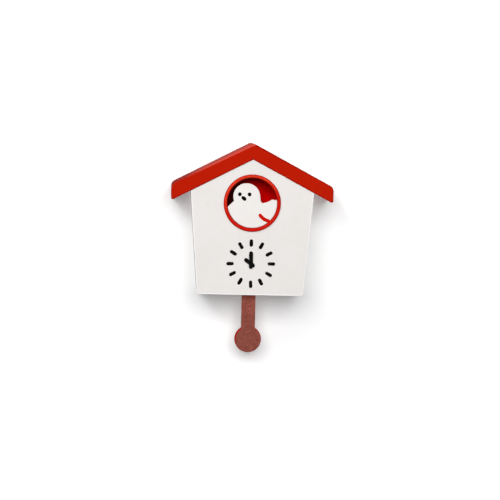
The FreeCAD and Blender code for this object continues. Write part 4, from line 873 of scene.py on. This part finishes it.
marks_low, marks_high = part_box("dial_marks")
front_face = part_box("front_panel")[0].y
dial_spot = middle_of("dial_marks")[[0, 2]]
mark_outer = (marks_high.x - marks_low.x) / 2
mark_length, mark_width, mark_swell = 9.6 * MM, 4.4 * MM, 0.04
marks = []
for hour in range(12):
    turn = math.radians(90 - hour * 30 + 0.9 * math.sin(hour * 2.3))
    reach = 0.25 * MM * math.sin(hour * 1.7)
    way = np.array([math.cos(turn), math.sin(turn)])
    marks.append(stroke(dial_spot + way * (mark_outer - mark_length + reach),
                        dial_spot + way * mark_outer, mark_width, mark_swell, hour * 1.3))
marks_rows = [plate_rows(mark, front_face + 0.05 * MM, marks_low.y, back_round=0.02 * MM,
                         front_round=0.38 * MM) for mark in marks]
marks_points, marks_faces = shells(marks_rows)
settle("dial_marks_painted", marks_points, marks_faces, "case", ["dial_marks"], [black_paint])


# ---------------------------------------------------------------- hands
# Two stubby hands punched from thin sheet and coated matt black, pressed on the pipe and arbor.
# Both reach a little past the middle, and the hub is no wider than the blades.

hand_coat, tree, shader = new_material("hand_black", roughness=0.5, specular=0.08)
coated = use_group(tree, lacquer, Colour=paint(10, 9, 9), Deeper=paint(3, 3, 3), Drift=0.4,
                   Knocks=0.1, Sheen=0.5)
finish_with(tree, shader, coated, relief=0.00006)


def hand(name, node_name, reach, tail, turn, body):
    """A hand with round ends, turned anticlockwise from twelve by an angle in degrees."""
    low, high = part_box(node_name)
    way = np.array([-math.sin(math.radians(turn)), math.cos(math.radians(turn))])
    outline = stroke(dial_spot - way * tail, dial_spot + way * reach, hand_width, hand_swell, turn)
    rows = plate_rows(outline, high.y, low.y, back_round=0.05 * MM, front_round=0.22 * MM, steps=4)
    return settle(name, rows, shell_faces(*rows.shape[:2]), body, [node_name], [hand_coat])


hand_width, hand_swell = 5.0 * MM, 0.02
hand("hour_hand_punched", "hour_hand", reach=10.2 * MM, tail=6.0 * MM, turn=53.0,
     body="hour_pipe")
hand("minute_hand_punched", "minute_hand", reach=15.8 * MM, tail=6.4 * MM, turn=0.0,
     body="minute_arbor")


# ---------------------------------------------------------------- quartz works
# Two moulded halves screwed together hold the stepper, its coil and the train of small wheels.
# The wheels are natural acetal, the hour wheel with the pipe is black, and the set shaft is steel.

dark_plastic = plastic_material("works_plastic", paint(58, 60, 63), paint(42, 44, 47), sheen=0.45)
for half in ("works_front", "works_rear"):
    dress(half, dark_plastic, edge=0.0003)
dress("works_screws", screw_steel, edge=0.0001)
for wheel in ("centre_wheel", "motion_wheel", "third_wheel"):
    dress(wheel, natural_acetal, edge=0)
dress("hour_wheel", black_plastic, edge=0)
core_steel = metal_material("core_steel", paint(168, 170, 174), paint(112, 115, 120),
                            lines=(120, 5000, 120), sheen=0.35)
dress("stepper_unit", core_steel, edge=0.00012)
dress("set_shaft", zinc, edge=0.00015)
knob_plastic = plastic_material("knob_plastic", paint(214, 210, 202), paint(196, 191, 182),
                                sheen=0.35)
dress("set_knob", knob_plastic, edge=0.00015)

# the winding: layers of enamelled wire, each turn a small bulge
copper = metal_material("enamelled_copper", paint(196, 104, 58), paint(142, 66, 34),
                        lines=(400, 400, 5200), sheen=0.3)
coil_low, coil_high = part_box("stepper_coil")
coil_length = coil_high.z - coil_low.z
coil_turns, coil_radius, wire_bulge, cheek = 44, 3.0 * MM, 0.14 * MM, 1.3 * MM
coil_share = np.linspace(0, 1, coil_turns * 4 + 1)
coil_wire = np.stack([coil_radius + wire_bulge * np.cos(2 * np.pi * coil_turns * coil_share),
                      cheek + coil_share * (coil_length - 2 * cheek)], 1)
coil_path = np.concatenate([
    np.array([(0.2, 0.0), (3.2, 0.0), (3.45, 0.25), (3.45, 0.95), (3.2, 1.2), (2.9, 1.2)]) * MM,
    coil_wire,
    np.array([(2.9, -1.2), (3.2, -1.2), (3.45, -0.95), (3.45, -0.25), (3.2, 0.0), (0.2, 0.0)]) * MM
    + (0, coil_length),
])
turned("stepper_coil_wound", coil_path,
       (*middle_of("stepper_coil")[:2], coil_low.z), "case",
       ["stepper_coil"], [natural_acetal, copper], around=40, axis="z",
       coats=[0] * 6 + [1] * len(coil_wire) + [0] * 6)


# ---------------------------------------------------------------- pendulum
# A broad wooden strap and a round bob sawn from the same board, both stained matt brown in front.
# The bob's disc is red, and one brown facing covers strap and bob and sits a little low on it.

dress("pendulum_drive", dark_plastic, edge=0.0004)
dress("pivot_pin", zinc, edge=0.0002)
dress("pendulum_bush", natural_acetal, edge=0.0002)
ferrite = plastic_material("ferrite", paint(66, 64, 64), paint(50, 48, 48), sheen=0.5,
                           relief=0.00004)
dress("drive_magnet", ferrite, edge=0.00012)

stain, stain_in, stain_out = new_group(
    "rough_stain",
    [("Colour", "Color", (1, 1, 1, 1)), ("Deeper", "Color", (0, 0, 0, 1)),
     ("Light", "Color", (1, 1, 1, 1))],
    [("Colour", "Color"), ("Height", "Float")])
stain_at = place_in(stain)
speck = noise(stain, stain_at, 620.0, 3, 0.75)
blotch = between(stain, noise(stain, stain_at, 160.0, 3), 0.35, 0.7)
stain_dark = sum_of(stain, scaled(stain, between(stain, speck, 0.5, 0.68), 0.5),
                    scaled(stain, blotch, 0.35))
stain_tone = blended(stain, stain_dark, stain_in.outputs["Colour"], stain_in.outputs["Deeper"])
stain_tone = blended(stain, scaled(stain, between(stain, speck, 0.5, 0.34), 0.5),
                     stain_tone, stain_in.outputs["Light"])
give_out(stain, stain_out, Colour=stain_tone, Height=speck)

brown_stain, tree, shader = new_material("pendulum_brown", roughness=0.8, specular=0.15)
stained = use_group(tree, stain, Colour=paint(142, 77, 66), Deeper=paint(112, 48, 38),
                    Light=paint(176, 108, 94))
# painted light: the tone is lifted towards the house, against the shadow the house casts on the
# strap; the lift is a falling power of e below its floor
stain_height = axes_in(tree).outputs["Z"]
house_floor, fall = -140 * MM, -10 * MM
below_house = sum_of(tree, house_floor, stain_height, "SUBTRACT")
shadow_lift = sum_of(tree, math.e, sum_of(tree, below_house, fall, "DIVIDE"), "POWER")
shadow_lift = sum_of(tree, sum_of(tree, scaled(tree, shadow_lift, 3.2), 1.0), 3.2, "MINIMUM")
stain_shown = node(tree, "VectorMath", {0: stained.outputs["Colour"], "Scale": shadow_lift},
                   operation="SCALE").outputs[0]
tree.links.new(stain_shown, shader.inputs["Base Color"])
raise_surface(tree, shader, stained.outputs["Height"], 0.00012)
edge_red = lacquer_material("pendulum_edge_red", paint(176, 28, 20), paint(150, 16, 12),
                            drift=0.4, knocks=0.2, sheen=0.5, specular=0.15)

strap_low, strap_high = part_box("pendulum_rod")
bob_low, bob_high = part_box("pendulum_bob")
bob_radius = (bob_high.x - bob_low.x) / 2
bob_spot = middle_of("pendulum_bob")[[0, 2]]
strap_half = strap_high.x
strap_foot = bob_spot[1] + math.sqrt(bob_radius ** 2 - strap_half ** 2)
facing = 0.7 * MM
strap_outline = soft_outline([
    (-strap_half, strap_foot, 0.3 * MM), (strap_half, strap_foot, 0.3 * MM),
    (strap_half, strap_high.z, 1.0 * MM), (-strap_half, strap_high.z, 1.0 * MM),
])
strap_rows = plate_rows(strap_outline, strap_high.y, strap_low.y + facing, back_round=0.4 * MM,
                        front_round=0.02 * MM)
facing_spot = bob_spot + np.array([0.5, -0.8]) * MM
facing_radius = bob_radius - 0.95 * MM
join_right = math.degrees(math.acos((strap_half - 0.5 * MM) / facing_radius))
join_left = 180 - math.degrees(math.acos((strap_half + 0.5 * MM) / facing_radius))
facing_outline = np.concatenate([
    soft_corner(np.array([-strap_half, strap_foot]), np.array([-strap_half, strap_high.z]),
                np.array([strap_half, strap_high.z]), 1.0 * MM),
    soft_corner(np.array([-strap_half, strap_high.z]), np.array([strap_half, strap_high.z]),
                np.array([strap_half, strap_foot]), 1.0 * MM),
    arc(facing_spot, facing_radius, join_right, join_left - 360, 90),
])
facing_rows = plate_rows(facing_outline, strap_low.y + facing, strap_low.y,
                         back_round=0.02 * MM, front_round=0.3 * MM)
strap_points, strap_faces = shells([strap_rows, facing_rows])
settle("pendulum_strap", strap_points, strap_faces, "pendulum", ["pendulum_rod"], [brown_stain])

disc_rows = plate_rows(arc(bob_spot, bob_radius, 0, 360, 97)[:-1], bob_high.y, bob_low.y + facing,
                       back_round=0.5 * MM, front_round=0.4 * MM)
settle("pendulum_bob_disc", disc_rows, shell_faces(*disc_rows.shape[:2]), "pendulum",
       ["pendulum_bob"], [edge_red])


# ---------------------------------------------------------------- battery tray, cells and cover
# A moulded tray behind the back board holds two cells, head to tail, between sprung contacts.
# The cover slides out downwards in its grooves, pushed by the ridges on its face.

tray_plastic = plastic_material("tray_plastic", paint(64, 66, 69), paint(48, 50, 53), sheen=0.42)
dress("battery_tray", tray_plastic, edge=0.0004)
nickel = metal_material("nickel_strip", paint(200, 198, 190), paint(150, 148, 140),
                        lines=(2600, 300, 300), sheen=0.25)
dress("battery_contacts", nickel, edge=0.0001)

cell_sleeve = plastic_material("cell_sleeve", paint(52, 74, 96), paint(40, 60, 80), sheen=0.25,
                               specular=0.5)
cell_band = plastic_material("cell_band", paint(206, 206, 202), paint(188, 188, 184), sheen=0.25,
                             specular=0.5)
cells_low, cells_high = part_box("battery_cells")
cell_radius = 7.2 * MM
cell_path = np.array([
    (0.2, 0.0), (5.6, 0.0), (6.4, 0.15), (6.6, 0.5), (7.0, 0.6), (7.2, 0.9), (7.2, 8.0), (7.2, 8.1),
    (7.2, 48.3), (7.0, 48.8), (6.4, 49.0), (6.1, 49.2), (3.4, 49.3), (2.9, 49.6), (2.7, 49.9),
    (2.7, 50.3), (2.4, 50.5), (0.2, 50.5),
]) * MM
cell_coats = [0] * 4 + [2] * 3 + [1] * 3 + [0] * 8
for name, up, way, start in (("cell_lower", cells_low.z + cell_radius, 1, -25.25 * MM),
                             ("cell_upper", cells_high.z - cell_radius, -1, 24.05 * MM)):
    turned(name, cell_path * (1, way), (start, middle_of("battery_cells")[1], up), "case",
           ["battery_cells"], [nickel, cell_sleeve, cell_band], around=64, axis="x",
           coats=cell_coats)


def height_plate(name, across, up, back, face, body, stands_for, finish):
    """A plate over a grid whose outer face is a height map; its back and sides are flat.

    The face is a whole array of depths, one for each place of the grid of across and up.
    """
    grid_x, grid_z = np.meshgrid(across, up)
    front = np.stack([grid_x, face, grid_z], -1).reshape(-1, 3)
    rear = front.copy()
    rear[:, 1] = back
    index = np.arange(grid_x.size).reshape(grid_x.shape)
    quads = np.stack([index[:-1, :-1], index[:-1, 1:], index[1:, 1:], index[1:, :-1]], -1)
    quads = quads.reshape(-1, 4)
    border = np.concatenate([index[0, :-1], index[:-1, -1], index[-1, :0:-1], index[:0:-1, 0]])
    after = np.roll(border, -1)
    sides = np.stack([border, after, after + grid_x.size, border + grid_x.size], 1)
    faces = np.concatenate([quads, quads[:, ::-1] + grid_x.size, sides])
    return settle(name, np.concatenate([front, rear]), faces.tolist(), body, stands_for, [finish])


# the face has rolled edges, six grip ridges, and an arrowhead sunk below them
cover_low, cover_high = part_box("battery_cover")
face_half = cover_high.x - 2.0 * MM
cover_x = np.linspace(-face_half, face_half, 121)
cover_z = np.linspace(cover_low.z, cover_high.z, 121)
off_side = face_half - np.abs(cover_x)[None]
off_end = np.minimum(cover_z - cover_low.z, cover_high.z - cover_z)[:, None]
rolled_deep, rolled_wide = 0.4 * MM, 0.6 * MM
edge_drop = rolled_deep * (1 - np.clip(np.minimum(off_side, off_end) / rolled_wide, 0, 1)) ** 2
grip_middle, grip_half, grip_tall_half = 20 * MM, 11 * MM, 9 * MM
ridge_pitch, ridge_deep, ridge_end = 3 * MM, 0.45 * MM, 0.8 * MM
grip_z = (cover_z - cover_low.z - grip_middle)[:, None]
in_grip = np.clip((grip_half - np.abs(cover_x)[None]) / ridge_end, 0, 1)
in_grip = in_grip * (np.abs(grip_z) < grip_tall_half)
groove = ridge_deep * in_grip * (0.5 - 0.5 * np.cos(2 * np.pi * grip_z / ridge_pitch))
arrow_tip, arrow_tall, arrow_deep, arrow_slope = 4.5 * MM, 4.5 * MM, 0.3 * MM, 0.5 * MM
arrow_z = (cover_z - cover_low.z - arrow_tip)[:, None]
in_arrow = np.clip((arrow_z - np.abs(cover_x)[None]) / arrow_slope, 0, 1) * (arrow_z < arrow_tall)
cover_face = cover_high.y - edge_drop - groove - arrow_deep * in_arrow
cover_plastic = plastic_material("cover_plastic", paint(58, 60, 63), paint(44, 46, 49), sheen=0.4)
height_plate("battery_cover_ridged", cover_x, cover_z, cover_low.y + 0.8 * MM, cover_face, "cover",
             ["battery_cover"], cover_plastic)
tongue_outline = soft_outline([
    (cover_low.x, cover_low.z, 0.6 * MM), (cover_high.x, cover_low.z, 0.6 * MM),
    (cover_high.x, cover_high.z, 0.6 * MM), (cover_low.x, cover_high.z, 0.6 * MM),
])
tongue_rows = plate_rows(tongue_outline, cover_low.y + 0.81 * MM, cover_low.y,
                         back_round=0.1 * MM, front_round=0.1 * MM)
settle("battery_cover_tongues", tongue_rows, shell_faces(*tongue_rows.shape[:2]), "cover",
       ["battery_cover"], [cover_plastic])


# ---------------------------------------------------------------- sound and controls
# A small printed board stands on posts behind the back board, with the knob, button and switch.
# The speaker plays through drilled holes, and a light sensor looks down through the floor.

# the board: a green mask over paler tracks, with tinned pads; a black chip; steel posts behind
circuit, tree, shader = new_material("circuit_board", roughness=0.35, specular=0.5)
circuit_at = place_in(tree)
track = node(tree, "TexVoronoi", {"Vector": circuit_at, "Scale": 260.0},
             feature="DISTANCE_TO_EDGE").outputs["Distance"]
pad = node(tree, "TexVoronoi", {"Vector": circuit_at, "Scale": 260.0}).outputs["Distance"]
circuit_tone = blended(tree, between(tree, track, 0.07, 0.03), paint(22, 92, 52),
                       paint(52, 132, 78))
circuit_tone = blended(tree, between(tree, pad, 0.2, 0.15), circuit_tone, paint(196, 196, 190))
circuit_deep = node(tree, "SeparateXYZ", {0: circuit_at}).outputs["Y"]
board_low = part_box("control_board")[0]
chip_back, post_front = board_low.y + 2.0 * MM, board_low.y + 3.62 * MM
chip_share = between(tree, circuit_deep, chip_back, chip_back - 0.05 * MM)
post_share = between(tree, circuit_deep, post_front, post_front + 0.08 * MM)
circuit_tone = blended(tree, chip_share, circuit_tone, paint(30, 30, 32))
circuit_tone = blended(tree, post_share, circuit_tone, paint(224, 220, 208))
tree.links.new(circuit_tone, shader.inputs["Base Color"])
raise_surface(tree, shader, scaled(tree, between(tree, track, 0.03, 0.07), -1.0),
              0.00005)
dress("control_board", circuit, edge=0.0002)


def fluted_rows(radius, low, high, flutes, depth, slot_width):
    """Rows of a fluted knob facing +y: the radius dips by the cosine of the flutes times the turn.

    The face is dished, and a pointer slot sinks where a place is near the line from its middle up.
    """
    turn = np.linspace(0, 2 * np.pi, flutes * 6, endpoint=False)[None]
    level = np.array([low, low + 0.3 * MM, high - 0.7 * MM, high - 0.2 * MM, high])[:, None]
    fade = np.array([0.3, 1, 1, 0.5, 0.0])[:, None]
    trim = np.array([0.3, 0, 0, 0.15, 0.6])[:, None] * MM
    side = radius - trim - depth * fade * (0.5 + 0.5 * np.cos(flutes * turn))
    reach = np.linspace(radius - 1.0 * MM, 0.1 * MM, 12)[:, None]
    across, up = reach * np.cos(turn), reach * np.sin(turn)
    in_slot = np.clip((slot_width - np.abs(across)) / (0.3 * MM), 0, 1) * (up > 0.8 * MM)
    dish = 0.35 * MM * np.clip((radius - 1.2 * MM - reach) / (0.8 * MM), 0, 1)
    radii = np.concatenate([side, reach + 0 * turn])
    levels = np.concatenate([level + 0 * turn, high - dish - 0.5 * MM * in_slot])
    return np.stack([radii * np.cos(turn), levels, radii * np.sin(turn)], -1)


volume_low, volume_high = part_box("volume_knob")
volume_rows = fluted_rows((volume_high.x - volume_low.x) / 2, volume_low.y, volume_high.y, 24,
                          0.35 * MM, 0.5 * MM)
volume_rows += middle_of("volume_knob") * (1, 0, 1)
settle("volume_knob_fluted", volume_rows, shell_faces(*volume_rows.shape[:2]), "volume",
       ["volume_knob"], [black_plastic])

press_low, press_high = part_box("demo_button")
press_radius = (press_high.x - press_low.x) / 2
press_path = np.array([
    (0.05 * MM, press_low.y), (press_radius - 0.2 * MM, press_low.y),
    (press_radius, press_low.y + 0.2 * MM),
    (press_radius, press_high.y - 1.0 * MM), (0.93 * press_radius, press_high.y - 0.4 * MM),
    (0.75 * press_radius, press_high.y - 0.08 * MM), (0.6 * press_radius, press_high.y),
    (0.4 * press_radius, press_high.y - 0.12 * MM), (0.05 * MM, press_high.y - 0.2 * MM),
])
press_red = plastic_material("button_plastic", paint(176, 30, 22), paint(150, 22, 16), sheen=0.3)
turned("demo_button_domed", press_path, middle_of("demo_button") * (1, 0, 1), "button",
       ["demo_button"], [press_red], around=48)

# the switch's slide has cross ridges for a fingertip
ridged, tree, shader = new_material("ridged_plastic", specular=0.4)
ridge_cast = use_group(tree, moulded, Colour=paint(44, 45, 47), Deeper=paint(30, 31, 33),
                       Sheen=0.4)
ridge_wave = node(tree, "TexWave", {"Vector": place_in(tree),
                                    "Scale": 320.0}, bands_direction="X").outputs["Fac"]
tree.links.new(ridge_cast.outputs["Colour"], shader.inputs["Base Color"])
tree.links.new(ridge_cast.outputs["Roughness"], shader.inputs["Roughness"])
raise_surface(tree, shader, ridge_wave, 0.0004)
dress("mode_switch", ridged, edge=0.0002)

# from the holes: a steel rim, a rubber roll, the paper cone and its dust cap; behind, the magnet
speaker_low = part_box("speaker")[0]
speaker_path = np.array([
    (0.1, 6.6), (2.0, 6.7), (3.6, 6.1), (4.2, 5.4), (4.4, 5.2), (12.0, 7.9), (12.4, 8.1),
    (13.0, 8.6), (13.8, 8.8), (14.6, 8.6), (15.2, 8.1), (15.5, 8.2), (15.8, 9.0), (17.7, 9.0),
    (18.0, 8.7), (18.0, 6.3), (17.7, 6.0), (9.4, 6.0), (9.0, 5.6), (9.0, 0.3), (8.7, 0.0),
    (0.1, 0.0),
]) * MM + (0, speaker_low.y)
speaker_paper = plastic_material("speaker_paper", paint(52, 50, 48), paint(36, 35, 34), sheen=0.75,
                                 specular=0.15, relief=0.00008)
speaker_rubber = plastic_material("speaker_rubber", paint(24, 24, 25), paint(18, 18, 19),
                                  sheen=0.5)
turned("speaker_cone", speaker_path, middle_of("speaker") * (1, 0, 1), "case",
       ["speaker"], [zinc, speaker_rubber, speaker_paper, ferrite], around=96,
       coats=[1] * 4 + [2] * 2 + [1] * 5 + [0] * 6 + [3] * 5)

sensor_path = np.array([
    (0.1, 0.0), (1.0, 0.1), (1.8, 0.5), (2.2, 1.0), (2.3, 1.1), (2.5, 1.1), (2.5, 7.7), (3.3, 7.8),
    (3.5, 8.0), (3.5, 10.6), (3.3, 10.8), (0.1, 10.8),
]) * MM
sensor_lens = plastic_material("sensor_lens", paint(46, 40, 52), paint(34, 30, 40), sheen=0.08,
                               specular=0.6)
turned("light_sensor_lens", sensor_path,
       (*middle_of("light_sensor")[:2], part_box("light_sensor")[0].z), "case", ["light_sensor"],
       [black_plastic, sensor_lens], around=40, axis="z", coats=[1] * 4 + [0] * 8)


# ---------------------------------------------------------------- wall, floor, light and camera
# A plain white wall just behind the clock, a pale floor below it, and broad soft lamps.
# Wall and floor show from their front faces only, so the clock can be seen past them.

wall_size, wall_gap, floor_level = 3.0, 0.0012, -0.55
wall_finish, tree = bare_material("wall")
wall_plain = node(tree, "BsdfDiffuse", {"Color": (0.92, 0.92, 0.92, 1)})
# to the camera and in reflections the wall has a glow of its own, weakest behind the house
house_middle = (0.0, wall_gap, -0.08)
from_house = node(tree, "VectorMath", {0: place_in(tree), 1: house_middle},
                  operation="DISTANCE").outputs["Value"]
wall_level = sum_of(tree, scaled(tree, between(tree, from_house, 0.12, 0.24), 0.3), 0.22)
wall_glow = node(tree, "Emission", {"Color": (1, 1, 1, 1), "Strength": wall_level})
light_path = node(tree, "LightPath")
seen_or_mirrored = sum_of(tree, light_path.outputs["Is Camera Ray"],
                          light_path.outputs["Is Glossy Ray"], "MAXIMUM")
no_glow = node(tree, "MixShader", {0: seen_or_mirrored})
lit_wall = node(tree, "AddShader", {0: wall_plain.outputs[0], 1: wall_glow.outputs[0]})
tree.links.new(wall_plain.outputs[0], no_glow.inputs[1])
tree.links.new(lit_wall.outputs[0], no_glow.inputs[2])


def seen_in_front(tree, surface):
    """The surface from its front, and nothing at all from its back."""
    made = node(tree, "MixShader", {0: node(tree, "NewGeometry").outputs["Backfacing"]})
    tree.links.new(surface, made.inputs[1])
    tree.links.new(node(tree, "BsdfTransparent").outputs[0], made.inputs[2])
    return made.outputs[0]


node(tree, "OutputMaterial", {"Surface": seen_in_front(tree, no_glow.outputs[0])})

floor_finish, tree = bare_material("floor")
floor_tone = blended(tree, noise(tree, place_in(tree), 3.0),
                     paint(247, 247, 247), paint(242, 242, 242))
floor_plain = node(tree, "BsdfDiffuse", {"Color": floor_tone})
node(tree, "OutputMaterial", {"Surface": seen_in_front(tree, floor_plain.outputs[0])})


def flat_sheet(name, corners, finish):
    """A four-cornered sheet of the room, facing the side from which its corners turn left."""
    mesh = bpy.data.meshes.new(name)
    mesh.from_pydata(corners, [], [(0, 1, 2, 3)])
    mesh.materials.append(finish)
    sheet = bpy.data.objects.new(name, mesh)
    bpy.context.scene.collection.objects.link(sheet)
    return sheet


wall = flat_sheet("wall", [
    (-wall_size, wall_gap, floor_level), (wall_size, wall_gap, floor_level),
    (wall_size, wall_gap, wall_size), (-wall_size, wall_gap, wall_size),
], wall_finish)
wall.visible_shadow = False
wall.visible_diffuse = False
floor = flat_sheet("floor", [
    (-wall_size, -wall_size, floor_level), (wall_size, -wall_size, floor_level),
    (wall_size, wall_size, floor_level), (-wall_size, wall_size, floor_level),
], floor_finish)
floor.visible_diffuse = False


def aimed(name, data, azimuth, elevation, distance, aim, roll=0.0):
    """A lamp or camera that looks at the aim, from a direction in degrees and a distance.

    Its -z looks along the direction, and the roll turns its x and y anticlockwise about it.
    """
    turn, rise, roll = (math.radians(angle) for angle in (azimuth, elevation, roll))
    back = np.array([math.sin(turn) * math.cos(rise), -math.cos(turn) * math.cos(rise),
                     math.sin(rise)])
    side = unit(np.cross([0, 0, 1], back))
    up = np.cross(back, side)
    pose = np.eye(4)
    pose[:3, 0] = math.cos(roll) * side + math.sin(roll) * up
    pose[:3, 1] = math.cos(roll) * up - math.sin(roll) * side
    pose[:3, 2], pose[:3, 3] = back, aim + back * distance
    made = bpy.data.objects.new(name, data)
    made.matrix_world = pose.T.tolist()
    bpy.context.scene.collection.objects.link(made)
    return made


def lamp(name, azimuth, elevation, distance, width, height, watts):
    """A soft lamp aimed at the clock, placed by its direction and its distance."""
    light = bpy.data.lights.new(name, "AREA")
    light.shape = "RECTANGLE"
    light.size, light.size_y = width, height
    light.energy = watts
    return aimed(name, light, azimuth, elevation, distance, np.array([0.0, -0.05, -0.08]))


front_lamp = lamp("front_lamp", -2, 17, 3.2, 2.2, 1.36, 87)
front_lamp.visible_glossy = False
lamp("key_lamp", -38, 38, 3.2, 0.8, 0.8, 19)
lamp("back_lamp", 150, 25, 1.8, 1.0, 1.0, 20)
lamp("left_lamp", -112, -5, 1.8, 1.0, 1.0, 7)
lamp("right_lamp", 100, -5, 1.8, 1.0, 1.0, 3)

world = bpy.data.worlds.new("room")
bpy.context.scene.world = world
world.use_nodes = True
tree = world.node_tree
tree.nodes.clear()
towards = node(tree, "SeparateXYZ", {0: node(tree, "TexCoord").outputs["Generated"]}).outputs["Y"]
sideways = between(tree, sum_of(tree, towards, 1.0), 0.25, 0.95)
# the room is white to the camera, dim as a light, and in reflections dark in front of the clock
mirrored_tone = blended(tree, sideways, (0.2, 0.2, 0.2, 1), (1.0, 1.0, 1.0, 1))
world_path = node(tree, "LightPath")
room_tone = blended(tree, world_path.outputs["Is Glossy Ray"], (0.11, 0.11, 0.11, 1),
                    mirrored_tone)
room_seen = blended(tree, world_path.outputs["Is Camera Ray"], room_tone, (1, 1, 1, 1))
glow = node(tree, "Background", {"Color": room_seen, "Strength": 1.0})
node(tree, "OutputWorld", {"Surface": glow.outputs[0]})

camera_lens = bpy.data.cameras.new("camera")
camera_lens.lens = 141.0
camera_lens.sensor_width = 36.0
camera = aimed("camera", camera_lens, azimuth=-2.5, elevation=4.0, distance=2.5,
               aim=np.array([-0.0004, -0.060, -0.0843]), roll=1.395)
bpy.context.scene.camera = camera
bpy.context.scene.view_settings.view_transform = "Standard"
